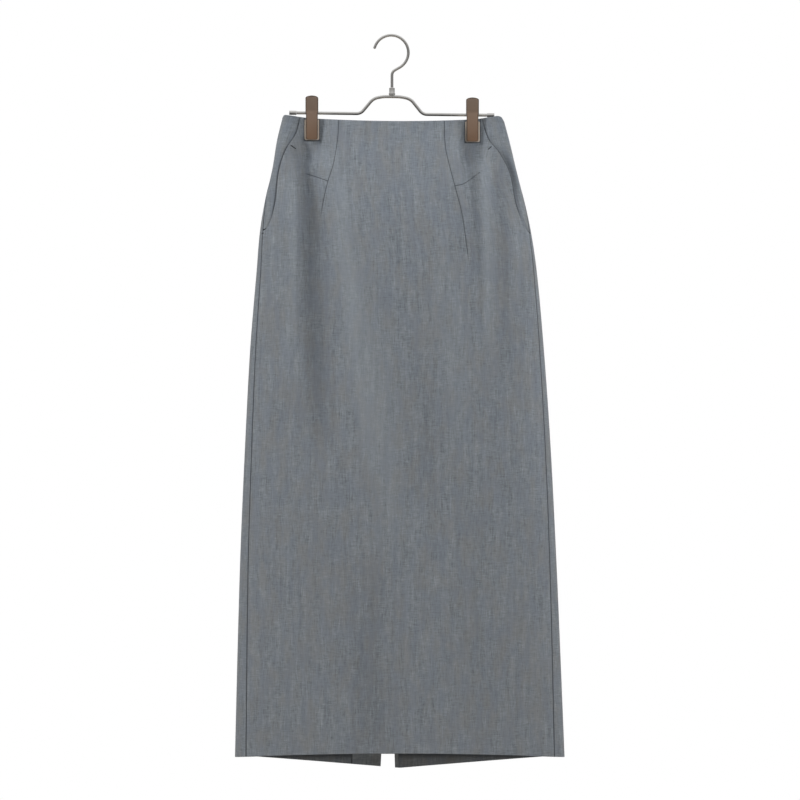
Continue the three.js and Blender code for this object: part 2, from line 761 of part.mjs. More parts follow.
function hookPath() {
  const radius = HOOK.innerRadius + HOOK.wire / 2;
  const centre = flat(0, -HOOK.innerRadius);
  const arc = new FlatArc(centre, radius, HOOK.tipTurn, HOOK.leaveTurn);
  const leave = arc.getPoint(1);
  const slope = Math.tan(radians(90 + HOOK.leaveTurn));
  const bendTop = flat(HOOK.shankX, leave.z - (leave.x - HOOK.shankX) * slope);
  const shank = bentLine([leave, bendTop, flat(HOOK.shankX, -HOOK.shankEnd)], HOOK.bend);
  const path = new THREE.CurvePath();
  path.add(arc);
  shank.curves.forEach((part) => path.add(part));
  return path;
}
add('hanger_hook', wireAlong(hookPath(), HOOK.wire, 44), colours.steel);

function ferrule() {
  const bottom = BAR.crestDrop - BAR.rod / 2 - LAYER_GAP;
  const profile = [
    [0, -bottom],
    [FERRULE.collar, -bottom],
    [FERRULE.collar, -bottom + FERRULE.collarHeight],
    [FERRULE.radius, -bottom + FERRULE.collarHeight + 0.6],
    [FERRULE.radius, -FERRULE.top - 0.6],
    [FERRULE.radius - 0.6, -FERRULE.top],
    [0, -FERRULE.top],
  ].map(([x, y]) => new THREE.Vector2(x, y));
  return new THREE.LatheGeometry(profile, 20).rotateX(Math.PI / 2).translate(HOOK.shankX, 0, 0);
}
add('hanger_ferrule', ferrule(), colours.steel);

// The bar hangs a little lower on the right, turned about its crest.
const bar = new THREE.Group();
bar.position.set(HOOK.shankX, 0, -BAR.crestDrop);
bar.rotation.y = radians(-BAR.tilt);
root.add(bar);
function barPath() {
  const arm = BAR.crestDrop - BAR.armDrop;
  const half = [
    flat(CREST.halfLevel, 0),
    flat(CREST.shoulder, -CREST.shoulderDown),
    flat(CREST.foot, arm),
    flat(BAR.halfLength, arm),
  ];
  const mirrored = half.map((p) => flat(-p.x, p.z)).reverse();
  return bentLine([...mirrored, ...half], BAR.bend);
}
add('hanger_bar', wireAlong(barPath(), BAR.rod, 60), colours.steel, bar);
for (const [name, side] of [['bar_cap_left', -1], ['bar_cap_right', 1]]) {
  const cap = new THREE.CylinderGeometry(CAP.radius, CAP.radius, CAP.length, 16);
  cap.rotateZ(Math.PI / 2);
  const x = side * (BAR.halfLength + SEAM_GAP + CAP.length / 2);
  cap.translate(x, 0, BAR.crestDrop - BAR.armDrop);
  add(name, cap, colours.steel, bar);
}

// A clip: two bent jaws with soft pads that nip the cloth, and a flat spring over the bar.
const JAW = {
  upper: 18.4, // width above the bar
  lower: 17, // width below it
  thick: 2.4,
  rise: 25, // above the middle of the bar
  fall: 38.2, // below it
  flare: 8, // how far the upper end stands out
  bendAt: 4, // the height of the bend above the bar
  crown: 3.6, // the height of the rounded top
};
const PAD = { width: 21, thick: 1.2, top: -9.6, bottom: -39.4 };
const SPRING = { width: 9, thick: 0.8, inner: 3.6, legEnd: -7.2 };
const padFace = PINNED + SEAM_GAP;
const jawFace = padFace + PAD.thick + SEAM_GAP;

function jaw() {
  const side = new THREE.Shape();
  side.moveTo(-jawFace, -JAW.fall);
  side.lineTo(-jawFace, JAW.bendAt);
  side.lineTo(-jawFace - JAW.flare, JAW.rise);
  side.lineTo(-jawFace - JAW.flare - JAW.thick, JAW.rise);
  side.lineTo(-jawFace - JAW.thick, JAW.bendAt);
  side.lineTo(-jawFace - JAW.thick, -JAW.fall);
  side.closePath();
  const [wide, narrow] = [JAW.upper / 2, JAW.lower / 2];
  const crownMiddle = JAW.rise - JAW.crown;
  const top = roundedRectangle([-wide, 0], [wide, crownMiddle + 2], 0.01, 2);
  const crown = new THREE.Shape().absellipse(0, crownMiddle, wide, JAW.crown, 0, Math.PI * 2);
  const foot = roundedRectangle([-narrow, -JAW.fall], [narrow, 1], 2.2, 0.01);
  const depth = 2 * (jawFace + JAW.flare + JAW.thick) + 2;
  const outline = toSolid(slab(top, depth, 'xz', 4))
    .add(toSolid(slab(crown, depth, 'xz', 16)))
    .add(toSolid(slab(foot, depth, 'xz', 4)));
  return toSolid(slab(side, JAW.upper + 2, 'yz')).intersect(outline);
}
const jawSolid = jaw();
function pad() {
  const outline = roundedRectangle([-PAD.width / 2, PAD.bottom], [PAD.width / 2, PAD.top], 2.8, 1);
  return slab(outline, PAD.thick, 'xz', 4).translate(0, -(padFace + PAD.thick / 2), 0);
}
function spring() {
  const shape = new THREE.Shape();
  const outer = SPRING.inner + SPRING.thick;
  shape.moveTo(-outer, SPRING.legEnd);
  shape.lineTo(-outer, 0);
  shape.absarc(0, 0, outer, Math.PI, 0, true);
  shape.lineTo(outer, SPRING.legEnd);
  shape.lineTo(SPRING.inner, SPRING.legEnd);
  shape.lineTo(SPRING.inner, 0);
  shape.absarc(0, 0, SPRING.inner, 0, Math.PI);
  shape.lineTo(-SPRING.inner, SPRING.legEnd);
  shape.closePath();
  return slab(shape, SPRING.width, 'yz', 8);
}
for (const hand of ['left', 'right']) {
  const clip = new THREE.Group();
  const sag = Math.tan(radians(BAR.tilt)) * (CLIP_X[hand] - HOOK.shankX);
  clip.position.set(CLIP_X[hand], 0, -BAR.armDrop + sag);
  root.add(clip);
  for (const [face, turn] of [['front', 0], ['back', Math.PI]]) {
    const half = new THREE.Group();
    half.rotation.z = turn;
    clip.add(half);
    add(`clip_${hand}_${face}_jaw`, toGeometry(jawSolid), colours.jaw, half);
    add(`clip_${hand}_${face}_pad`, pad(), colours.jawPad, half);
  }
  add(`clip_${hand}_spring`, spring(), colours.steel, clip);
}

export default root;
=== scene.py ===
"""A long pencil skirt of grey mélange suiting, hanging from the two clips of a steel hanger."""
import math

import bmesh
import bpy
import numpy as np
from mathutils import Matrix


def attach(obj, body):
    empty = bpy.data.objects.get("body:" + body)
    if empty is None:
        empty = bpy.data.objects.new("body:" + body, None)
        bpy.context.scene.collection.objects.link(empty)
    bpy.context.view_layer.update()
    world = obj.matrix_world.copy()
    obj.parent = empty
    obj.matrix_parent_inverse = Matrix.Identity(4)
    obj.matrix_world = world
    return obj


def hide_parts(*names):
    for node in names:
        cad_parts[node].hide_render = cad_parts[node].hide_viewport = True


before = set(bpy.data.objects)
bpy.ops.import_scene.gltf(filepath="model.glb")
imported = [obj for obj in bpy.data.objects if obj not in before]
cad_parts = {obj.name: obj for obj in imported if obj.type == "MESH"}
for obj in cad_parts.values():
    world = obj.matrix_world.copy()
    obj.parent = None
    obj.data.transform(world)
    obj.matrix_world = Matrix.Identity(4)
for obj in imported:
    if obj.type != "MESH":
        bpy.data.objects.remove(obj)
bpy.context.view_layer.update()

# The suiting. A plain weave of mélange yarns in cool greys, with short lighter and darker slubs along
# both warp and weft. It reads each piece's own map, across and down the grain in metres.
SUITING_GREY = (0.184, 0.210, 0.237)
SUITING_DARK = (0.094, 0.109, 0.128)
SUITING_LIGHT = (0.322, 0.355, 0.386)
SUITING_WARM = (0.212, 0.214, 0.214)
SUITING_COOL = (0.176, 0.203, 0.248)
# The near-black towards which painted shade darkens the cloth.
PAINTED_SHADE_COLOUR = (0.040, 0.045, 0.052)
YARN_PITCH = 0.00056


class Socket:
    """One output of a material's nodes, on which +, -, * and / add Math nodes."""

    def __init__(self, finish, output):
        self.finish = finish
        self.output = output

    def maths(self, operation, first, second):
        return self.finish.node("ShaderNodeMath", {"operation": operation}, {0: first, 1: second})

    def __add__(self, other):
        return self.maths("ADD", self, other)

    def __radd__(self, other):
        return self.maths("ADD", other, self)

    def __sub__(self, other):
        return self.maths("SUBTRACT", self, other)

    def __rsub__(self, other):
        return self.maths("SUBTRACT", other, self)

    def __mul__(self, other):
        return self.maths("MULTIPLY", self, other)

    def __rmul__(self, other):
        return self.maths("MULTIPLY", other, self)

    def __truediv__(self, other):
        return self.maths("DIVIDE", self, other)


class Finish:
    """A material whose nodes are added by one method, around one Principled shader."""

    def __init__(self, name, **constants):
        self.material = bpy.data.materials.new(name)
        self.material.use_nodes = True
        self.tree = self.material.node_tree
        self.shader = self.tree.nodes["Principled BSDF"]
        for socket, value in constants.items():
            self.shader.inputs[socket.replace("_", " ")].default_value = value

    def node(self, kind, settings=None, values=None, out=0):
        made = self.tree.nodes.new(kind)
        for name, value in (settings or {}).items():
            if name == "stops":
                self.set_stops(made.color_ramp, value)
            else:
                setattr(made, name, value)
        for key, value in (values or {}).items():
            self.join(made.inputs[key], value)
        return Socket(self, made.outputs[out])

    @staticmethod
    def set_stops(ramp, stops):
        while len(ramp.elements) < len(stops):
            ramp.elements.new(0.5)
        for element, (place, level) in zip(ramp.elements, stops):
            element.position = place
            element.color = (level, level, level, 1)

    def join(self, socket, value):
        if isinstance(value, Socket):
            self.tree.links.new(value.output, socket)
        elif isinstance(value, tuple) and len(value) == 3 and socket.type == "RGBA":
            socket.default_value = (*value, 1)
        else:
            socket.default_value = value

    def mix(self, share, low, high):
        return self.node(
            "ShaderNodeMix", {"data_type": "RGBA"}, {0: share, 6: low, 7: high}, out=2
        )

    def noise(self, place, scale, detail=2.0, seed=0.0, roughness=0.5):
        values = {"Vector": place, "Scale": scale, "Detail": detail, "W": seed, "Roughness": roughness}
        return self.node("ShaderNodeTexNoise", {"noise_dimensions": "4D"}, values)

    def ramp(self, value, *stops):
        return self.node("ShaderNodeValToRGB", {"stops": stops}, {0: value})

    def stretched(self, place, across, down):
        """The map's place counted in units of a yarn stretch across and one down the grain."""
        scale = (1 / across, 1 / down, 1)
        return self.node("ShaderNodeMapping", {}, {"Vector": place, "Scale": scale})

    def surface(self, socket, value):
        self.join(self.shader.inputs[socket], value)

    def bump(self, height, distance, strength=1.0, under=None):
        values = {"Height": height, "Distance": distance, "Strength": strength}
        if under is not None:
            values["Normal"] = under
        return self.node("ShaderNodeBump", {}, values)


def suiting():
    cloth = Finish("suiting", Roughness=0.92, Sheen_Weight=0.22, Sheen_Roughness=0.55)
    cloth.shader.inputs["Specular IOR Level"].default_value = 0.12
    grain = cloth.node("ShaderNodeUVMap", {"uv_map": "grain"})
    crevice = cloth.node("ShaderNodeAttribute", {"attribute_name": "crevice"}, out=2)

    # Slubs are noise stretched along the yarn: warp slubs run down, weft slubs run across.
    warp = cloth.noise(cloth.stretched(grain, 0.0013, 0.012), 1.0, 3.0, 0.3)
    warp_long = cloth.noise(cloth.stretched(grain, 0.0064, 0.085), 1.0, 2.0, 4.1)
    weft = cloth.noise(cloth.stretched(grain, 0.009, 0.0014), 1.0, 3.0, 8.7)
    fleck = cloth.noise(grain, 620.0, 2.0, 2.2)
    warm_cloud = cloth.noise(cloth.stretched(grain, 0.016, 0.034), 1.0, 2.0, 6.5)
    cool_cloud = cloth.noise(cloth.stretched(grain, 0.013, 0.040), 1.0, 2.0, 1.9)
    tone = warp * 0.36 + weft * 0.30 + warp_long * 0.22 + fleck * 0.12
    dark_slub = cloth.ramp(warp * 0.6 + weft * 0.4, (0.30, 1), (0.43, 0))
    light_slub = cloth.ramp(weft * 0.55 + warp * 0.45, (0.57, 0), (0.70, 1))

    colour = cloth.mix(cloth.ramp(tone, (0.36, 0), (0.64, 1)), SUITING_DARK, SUITING_LIGHT)
    colour = cloth.mix(0.16, colour, SUITING_GREY)
    colour = cloth.mix(cloth.ramp(warm_cloud, (0.44, 0), (0.62, 0.5)), colour, SUITING_WARM)
    colour = cloth.mix(cloth.ramp(cool_cloud, (0.44, 0), (0.62, 0.5)), colour, SUITING_COOL)
    colour = cloth.mix(dark_slub * 0.40, colour, SUITING_DARK)
    colour = cloth.mix(light_slub * 0.34, colour, SUITING_LIGHT)

    # The plain weave itself: each yarn's crown stands a little proud where it passes over, and is painted
    # a little lighter there as a painted highlight.
    split = cloth.node("ShaderNodeSeparateXYZ", {}, {0: grain}, out=0)
    down = Socket(cloth, split.output.node.outputs[1])
    turns = math.tau / (2 * YARN_PITCH)
    over = split * turns
    along = down * turns
    crown_warp = cloth.node("ShaderNodeMath", {"operation": "SINE"}, {0: over})
    crown_weft = cloth.node("ShaderNodeMath", {"operation": "SINE"}, {0: along})
    weave = crown_warp * crown_weft * 0.5 + 0.5
    colour = cloth.mix(weave * 0.16, colour, SUITING_LIGHT)
    # Painted light from each point's shade attribute: below 0 a painted highlight along fold crests,
    # above 0 painted shade in fold hollows, sewn furrows, edges, the hem and round the clips.
    colour = cloth.mix(crevice * -1.0, colour, SUITING_LIGHT)
    colour = cloth.mix(crevice * 0.92, colour, PAINTED_SHADE_COLOUR)
    cloth.surface("Base Color", colour)

    yarns = cloth.bump(weave, 0.00012, 0.55)
    slubs = cloth.bump(warp * 0.6 + weft * 0.4, 0.00035, 0.5, yarns)
    cloth.surface("Normal", slubs)
    cloth.surface("Roughness", 0.86 + fleck * 0.12)
    return cloth.material


SUITING = suiting()

# The front panel. One piece from waist to hem, shaped by two long curved darts and a short cross dart
# beside each, sewn on the inside. Its upper side edges are turned under and make the pocket mouths.
# Sizes are in millimetres below the rail on which the hook rests, as a drop, and left or right of it.
MM = 0.001
CLOTH = 1.2
LAYER_GAP = 0.35
SEAM_GAP = 0.3
WAIST_LEVEL, HEM_LEVEL = 120, 1040
CLIP_X = {"left": -114.8, "right": 117.8}
PINNED = 3.1
CLIP_GRIP_END, GRIP_RELEASE = 154, 42
CLIP_FLAT = 11
HANDS = {"left": -1, "right": 1}


def table(columns, *rows):
    return [dict(zip(columns.split(), row)) for row in rows]


SECTIONS = table(
    "drop left right front back ends",
    (118, 158, 162.8, 14, 14, 0.55),
    (150, 165.8, 171.5, 25, 29, 0.62),
    (190, 172.3, 181, 39, 48, 0.7),
    (235, 182.2, 192.2, 51, 64, 0.78),
    (280, 189.8, 202, 59, 74, 0.84),
    (338, 194.8, 210.7, 64, 77, 0.88),
    (454, 204.3, 221.3, 66, 72, 0.92),
    (600, 212, 231.3, 66, 64, 0.95),
    (773, 219.2, 240, 66, 56, 0.97),
    (1062, 226.8, 252, 66, 50, 1),
)
WAIST_EDGE = table(
    "across drop",
    (-1, 117.5),
    (-0.99, 114.6),
    (-0.972, 113.3),
    (-0.73, 118.3),
    (0, 122.3),
    (0.72, 119.8),
    (0.94, 115),
    (0.972, 115.8),
    (0.99, 118),
    (1, 123),
)
FRONT_HEM, SIDE_HEM, BACK_HEM = 1036.5, 1043, 1060.5
BACK_HEM_LEVEL_FROM = 0.88
SIDE_SEAMS = table(
    "drop left right",
    (113, -12, -12),
    (185, -6, -6),
    (224, 0, -2),
    (250, 8, 3),
    (300, 13, 10.5),
    (454, 16, 14),
    (760, 18.7, 17),
    (1043, 21.4, 20.5),
)
POCKETS = {
    "left": table(
        "drop x",
        (116, -130.8),
        (141, -138),
        (165, -152.8),
        (196, -162.5),
        (236, -167),
        (262, -172.6),
        (275, -178.6),
        (284, -185),
    ),
    "right": table(
        "drop x",
        (116, 129.6),
        (149, 140.7),
        (168.5, 156.2),
        (198, 171.1),
        (241, 179.5),
        (265, 187.6),
        (276, 193.4),
        (284, 199),
    ),
}
POCKET_END = 284
UNDERLAP_WAIST, UNDERLAP_BELOW, UNDERLAP_FULL = 1.4, 16, 175
DARTS = {
    "left": table(
        "drop x",
        (118, -75.6),
        (145, -77.1),
        (184, -83.5),
        (209.8, -91.4),
        (241, -98.5),
        (262, -101.2),
    ),
    "right": table(
        "drop x",
        (118, 77.2),
        (145, 77.3),
        (168.5, 79.9),
        (216.9, 92.1),
        (255, 101.8),
        (301, 108.6),
        (326, 112),
    ),
}
CROSS_DARTS = {
    "left": table("x drop", (-123.7, 198.5), (-106.9, 204), (-91.4, 209.8)),
    "right": table("x drop", (92.1, 216.9), (104.4, 213.7), (116.1, 206), (130.9, 194.3)),
}
BACK_DART = {"x": 66, "lean_out": 0.05, "top": 118, "end": 246}
CROSS_ROW, CROSS_REACH, CROSS_START, CROSS_FADE, CROSS_FLAT = 210, 88, 8, 26, 1.3

# Where the clips draw the cloth in: two long troughs, front and back, that die out down the skirt.
TROUGHS = table(
    "drop left_x right_x flat left_fall right_fall front_left front_right back",
    (118, -114.8, 117.8, 12.5, 26, 26, 16, 16, 16),
    (155, -114.8, 117.8, 12.5, 26, 26, 16, 15, 16),
    (190, -110.5, 119.5, 7, 33, 27, 15, 12.5, 12),
    (230, -105, 122, 3, 38, 29, 14.5, 10.5, 9),
    (280, -97, 127, 2, 44, 32, 13, 9, 6.5),
    (340, -89, 133, 2, 50, 36, 10, 6, 4),
    (430, -80, 139, 2, 58, 42, 6, 3, 1.5),
    (540, -74, 142, 2, 64, 46, 2.5, 1, 0),
    (660, -70, 145, 2, 66, 50, 0, 0, 0),
)
SOFT_FOLDS = table(
    "side top_x top_drop end_x end_drop half_width height",
    ("front", -14, 430, 108, 850, 40, -2.4),
    ("front", 142, 175, 160, 470, 17, 3.2),
    ("front", -38, 300, -60, 760, 34, 2),
    ("front", 64, 330, 62, 700, 34, 1.6),
    ("front", -150, 560, -166, 1030, 36, 1.8),
    ("back", -8, 330, -78, 900, 46, -2.8),
    ("back", 92, 300, 70, 980, 42, -2.2),
    ("back", -150, 420, -128, 1000, 34, 2),
    ("back", 156, 480, 170, 1020, 34, 1.6),
)
# Finer creases: the drag of the clips, the ease at the darts' points, the hip's ripples.
CREASES = table(
    "side top_x top_drop end_x end_drop bow half_width height",
    ("front", -134, 140, -115, 186, 2, 3.2, -2.3),
    ("front", -126, 154, -100, 190, 3, 4.5, 1.4),
    ("front", -119, 158, -121, 220, -3, 6, -1.6),
    ("front", -106, 128.8, -80, 129.6, 0, 1.8, -0.9),
    ("front", -103, 150, -84, 176, 3, 5, -0.7),
    ("front", -101, 246, -96, 330, 2, 7, -0.8),
    ("front", -140, 205, -138, 330, 3, 8, 0.9),
    ("front", 127, 155, 138, 192, -2, 4, -1.1),
    ("front", 108, 156, 99, 192, -2, 5, -0.8),
    ("front", 108, 290, 111, 390, 2, 8, -0.7),
    ("front", 150, 178, 168, 320, -4, 6, -0.8),
    ("front", 176, 300, 186, 460, 3, 9, -1.1),
    ("front", -119, 150, -97, 620, -1, 17, -7.4),
    ("front", -136, 90, -146, 520, 2, 9, 3.4),
    ("front", -103, 138, -99, 235, 0, 7, 3.0),
    ("front", 88, 124, 86, 220, 0, 9, 2.2),
    ("front", -86, 130, -20, 660, 0, 15, 5.5),
    ("front", -162, 172, -168, 380, 4, 14, 1.4),
    ("front", 114, 190, 120, 420, -3, 13, -0.9),
    ("front", 134, 124, 141, 480, 1, 7.5, 4.6),
    ("front", 155, 164, 166, 480, 2, 8, -3.0),
    ("front", 172, 190, 182, 430, 3, 8, 1.6),
    ("front", -44, 126, -36, 150, 0, 8, -0.3),
    ("front", 28, 132, 40, 190, 4, 14, -0.5),
    ("front", -30, 330, -4, 780, 6, 20, 2.6),
    ("front", 44, 440, 56, 720, 4, 14, -2.2),
    ("front", 74, 280, 100, 640, 4, 20, 2.2),
    ("front", -34, 760, -26, 1150, 2, 30, -3.2),
    ("front", 120, 620, 150, 1100, -10, 22, -1.0),
    ("back", -130, 146, -116, 188, 2, 4, -1.3),
    ("back", -103, 152, -86, 196, 3, 5, -0.8),
    ("back", 128, 150, 118, 196, -2, 4.5, -1.2),
    ("back", 104, 152, 88, 200, -3, 5, -0.8),
    ("back", -72, 240, -76, 330, 2, 9, -0.7),
    ("back", 78, 240, 80, 340, -2, 9, -0.8),
    ("back", -20, 330, -60, 420, 8, 12, -0.7),
    ("back", 26, 320, 56, 430, -7, 12, -0.6),
    ("back", -150, 620, -128, 1030, 8, 24, -0.7),
    ("back", 30, 700, 60, 1040, -6, 20, 0.7),
)


def curve(rows, along, value):
    """A smooth curve through the rows of a table, held level past its ends."""
    t = np.array([row[along] for row in rows], float)
    v = np.array([row[value] for row in rows], float)
    here = np.arange(len(t))
    before, after = np.maximum(here - 1, 0), np.minimum(here + 1, len(t) - 1)
    slope = (v[after] - v[before]) / (t[after] - t[before])

    def at(where):
        x = np.clip(where, t[0], t[-1])
        i = np.clip(np.searchsorted(t, x) - 1, 0, len(t) - 2)
        h = t[i + 1] - t[i]
        s = (x - t[i]) / h
        level = v[i] + (v[i + 1] - v[i]) * s * s * (3 - 2 * s)
        return level + h * s * (s - 1) * ((s - 1) * slope[i] + s * slope[i + 1])

    return at


def ease(value, start, end):
    s = np.clip((value - start) / (end - start), 0, 1)
    return s * s * (3 - 2 * s)


def mix(a, b, share):
    return a + (b - a) * share


section = {name: curve(SECTIONS, "drop", name) for name in list(SECTIONS[0])[1:]}
trough = {name: curve(TROUGHS, "drop", name) for name in list(TROUGHS[0])[1:]}
waist_edge = curve(WAIST_EDGE, "across", "drop")
seam_lean = {hand: curve(SIDE_SEAMS, "drop", hand) for hand in HANDS}
pocket_x = {hand: curve(POCKETS[hand], "drop", "x") for hand in HANDS}
dart_x = {hand: curve(DARTS[hand], "drop", "x") for hand in HANDS}
cross_drop = {hand: curve(CROSS_DARTS[hand], "x", "drop") for hand in HANDS}
cross_end = {hand: max(abs(row["x"]) for row in CROSS_DARTS[hand]) for hand in HANDS}


# A turn goes round the skirt in degrees: 0 is the right end, 90 the centre back, 270 the centre front.
def middle(drop):
    return (section["right"](drop) - section["left"](drop)) / 2


def half_width(drop):
    return (section["right"](drop) + section["left"](drop)) / 2


def back_turn(x, drop):
    return np.degrees(np.arccos(np.clip((x - middle(drop)) / half_width(drop), -1, 1)))


def front_turn(x, drop):
    return 360 - back_turn(x, drop)


def fold_height(on_front, x, drop):
    height = np.zeros(np.shape(x))
    for fold in SOFT_FOLDS:
        run = np.clip((drop - fold["top_drop"]) / (fold["end_drop"] - fold["top_drop"]), 0, 1)
        off = (x - mix(fold["top_x"], fold["end_x"], run)) / fold["half_width"]
        bell = fold["height"] * np.sin(np.pi * run) ** 0.8 * np.exp(-off * off)
        height += np.where(on_front == (fold["side"] == "front"), bell, 0)
    return height


def crease_height(on_front, x, drop):
    height = np.zeros(np.shape(x))
    for crease in CREASES:
        way = np.array([crease["end_x"] - crease["top_x"], crease["end_drop"] - crease["top_drop"]])
        length = np.hypot(*way)
        way = way / length
        from_x, from_drop = x - crease["top_x"], drop - crease["top_drop"]
        run = (from_x * way[0] + from_drop * way[1]) / length
        inside = np.sin(np.pi * np.clip(run, 0, 1))
        off = (from_x * way[1] - from_drop * way[0] - crease["bow"] * inside) / crease["half_width"]
        bell = crease["height"] * inside ** 0.7 * np.exp(-off * off)
        height += np.where(on_front == (crease["side"] == "front"), bell, 0)
    return height


# Painted shade and highlight: a trough this deep is painted this much darker, and a crest this high is
# painted this much lighter.
HOLLOW_DEPTH, HOLLOW_SHADE = 6, 0.3
CREST_HEIGHT, CREST_HIGHLIGHT = 4.5, 0.3


def fold_shade_and_highlight(turn, drop):
    """How much painted shade darkens the cloth at the bottom of a fold, which the room's light hardly
    reaches, and, below 0, how much painted highlight lightens it along a crest."""
    x = middle(drop) + half_width(drop) * np.cos(np.radians(turn))
    height = crease_height(np.sin(np.radians(turn)) < 0, x, drop)
    deep = HOLLOW_SHADE * np.clip(-height / HOLLOW_DEPTH, 0, 1) * ease(drop, 150, 200)
    return deep - CREST_HIGHLIGHT * np.clip(height / CREST_HEIGHT, 0, 1)


def skin(turn, drop, creased=False):
    """The cloth's outer face, in millimetres."""
    turn, drop = np.broadcast_arrays(np.asarray(turn, float), np.asarray(drop, float))
    cos, sin = np.cos(np.radians(turn)), np.sin(np.radians(turn))
    on_front = sin < 0
    x = middle(drop) + half_width(drop) * cos
    bulge = np.where(on_front, section["front"](drop), section["back"](drop))
    bulge = bulge * np.abs(sin) ** section["ends"](drop)
    gripped = 1 - ease(drop, CLIP_GRIP_END, CLIP_GRIP_END + GRIP_RELEASE)
    reach = np.maximum(bulge - PINNED, 0)
    depth = bulge.copy()
    for hand in HANDS:
        flat, fall = trough["flat"](drop), trough[f"{hand}_fall"](drop)
        share = 1 - ease(np.abs(x - trough[f"{hand}_x"](drop)), flat, flat + fall)
        deep = np.where(on_front, trough[f"front_{hand}"](drop), trough["back"](drop))
        depth -= share * mix(np.minimum(deep, reach), reach, gripped)
    depth += fold_height(on_front, x, drop) * np.abs(sin)
    if creased:
        clear_of_clips = ease(drop, CLIP_GRIP_END - 2, CLIP_GRIP_END + 6)
        beside_clips = np.ones(np.shape(x))
        for hand in HANDS:
            beside_clips *= ease(np.abs(x - CLIP_X[hand]), CLIP_FLAT, CLIP_FLAT + 4)
        height = crease_height(on_front, x, drop)
        depth += height * np.abs(sin) * np.maximum(clear_of_clips, beside_clips)
    return np.stack([x, np.sign(sin) * depth, -drop], -1)


def outward(turn, drop):
    around = skin(turn + 0.3, drop) - skin(turn - 0.3, drop)
    down = skin(turn, drop + 0.5) - skin(turn, drop - 0.5)
    normal = np.cross(down, around)
    return normal / np.linalg.norm(normal, axis=-1, keepdims=True)


def edge_drops(turn):
    cos, sin = np.cos(np.radians(turn)), np.sin(np.radians(turn))
    reach = np.abs(cos)
    front = mix(FRONT_HEM, SIDE_HEM, reach**2)
    back = mix(BACK_HEM, SIDE_HEM, np.minimum(reach / BACK_HEM_LEVEL_FROM, 1))
    return waist_edge(cos), np.where(sin < 0, front, back)


def row_share(row):
    return (row - WAIST_LEVEL) / (HEM_LEVEL - WAIST_LEVEL)


def plain_share(turn, row):
    return row_share(row)


def front_share(turn, row):
    """On the front, rows near the cross darts swing up so that one runs along each of them."""
    share = row_share(row)
    near = 1 - np.maximum(np.abs(row - CROSS_ROW) - CROSS_FLAT, 0) / CROSS_REACH
    x = middle(row) + half_width(row) * np.cos(np.radians(turn))
    waist, hem = edge_drops(turn)
    swing = np.zeros(np.shape(turn))
    for hand, sign in HANDS.items():
        inner = np.abs(dart_x[hand](row)) - CROSS_START
        outer = np.abs(pocket_x[hand](row)) - UNDERLAP_BELOW
        start = np.minimum(cross_end[hand], outer - CROSS_FADE)
        fade = (1 - ease(np.abs(x), start, outer)) * ease(np.abs(x), inner, inner + CROSS_START)
        wanted = (cross_drop[hand](x) - waist) / (hem - waist) - row_share(CROSS_ROW)
        swing = np.where(x * sign > 0, wanted * fade, swing)
    return share + swing * np.maximum(near, 0)


def settle(keys, rows, share, spacing=3.4, fine=()):
    """Finds where columns of mesh meet rows. Keys are functions from drop and row to turn; the columns
    between two of them are shared out evenly, at the spacing where the two lie farthest apart."""
    turns, drops, places = [], [], []
    rows = np.asarray(rows, float)[None, :]
    for k in range(len(keys) - 1):
        levels = np.linspace(130, 1030, 13)
        gap = skin(keys[k](levels, levels), levels) - skin(keys[k + 1](levels, levels), levels)
        count = 1 if k in fine else max(1, math.ceil(np.linalg.norm(gap, axis=-1).max() / spacing))
        steps = np.arange(count + (k == len(keys) - 2))[:, None] / count
        drop = np.broadcast_to(rows, (len(steps), rows.shape[1]))
        for _ in range(16):
            turn = mix(keys[k](drop, rows), keys[k + 1](drop, rows), steps)
            waist, hem = edge_drops(turn)
            drop = mix(waist, hem, share(turn, rows))
        turns.append(mix(keys[k](drop, rows), keys[k + 1](drop, rows), steps))
        drops.append(drop)
        places.append(k + steps[:, 0])
    return np.concatenate(turns).T, np.concatenate(drops).T, np.concatenate(places)


def finer(rows, spacing=3.3):
    """The rows with more between them, so that none lie farther apart than the spacing."""
    made = [rows[0]]
    for low, high in zip(rows, rows[1:]):
        count = max(1, math.ceil((high - low) / spacing))
        made += [low + (high - low) * i / count for i in range(1, count + 1)]
    return made


# Half the width of a clip's pad, the drop of its foot, and how wide and how far outside it the painted
# shadow round it lies.
PAD_HALF, PAD_FOOT = 10.5, {"left": 150.0, "right": 152.8}
PAD_SHADOW_WIDTH, PAD_SHADOW_OUT = 0.8, 0.6


def pad_shadow(x, drop):
    """The painted shadow round each clip's pad, at its sides and foot, where the pad meets the cloth."""
    shade = np.zeros(np.shape(x))
    for hand in HANDS:
        aside = np.abs(x - CLIP_X[hand]) - PAD_HALF
        below = drop - PAD_FOOT[hand]
        outside = np.maximum(aside, below)
        shade = np.maximum(shade, np.exp(-(((outside - PAD_SHADOW_OUT) / PAD_SHADOW_WIDTH) ** 2)))
    return shade


def groove(distance, depth=0.6, half=0.6):
    """A sewn line's profile: a narrow furrow between two slightly puffed sides."""
    far = np.abs(distance)
    return depth * np.exp(-((far / half) ** 2)) - 0.2 * np.exp(-(((far - 2.6) / 1.5) ** 2))


def seam_shade(distance):
    """How much painted shade lies along a sewn line's furrow, at a distance from it."""
    return np.exp(-((np.abs(distance) / SEAM_SHADE_WIDTH) ** 2))


def add_mesh(name, points, faces, material, smooth=True):
    mesh = bpy.data.meshes.new(name)
    mesh.from_pydata(points, [], faces)
    mesh.polygons.foreach_set("use_smooth", [smooth] * len(mesh.polygons))
    mesh.materials.append(material)
    mesh.update()
    made = bpy.data.objects.new(name, mesh)
    bpy.context.scene.collection.objects.link(made)
    return made


def fix(piece, node, body="skirt"):
    """Hides the solid that a piece stands for, and hangs the piece on the body that carries it."""
    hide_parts(node)
    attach(piece, body)


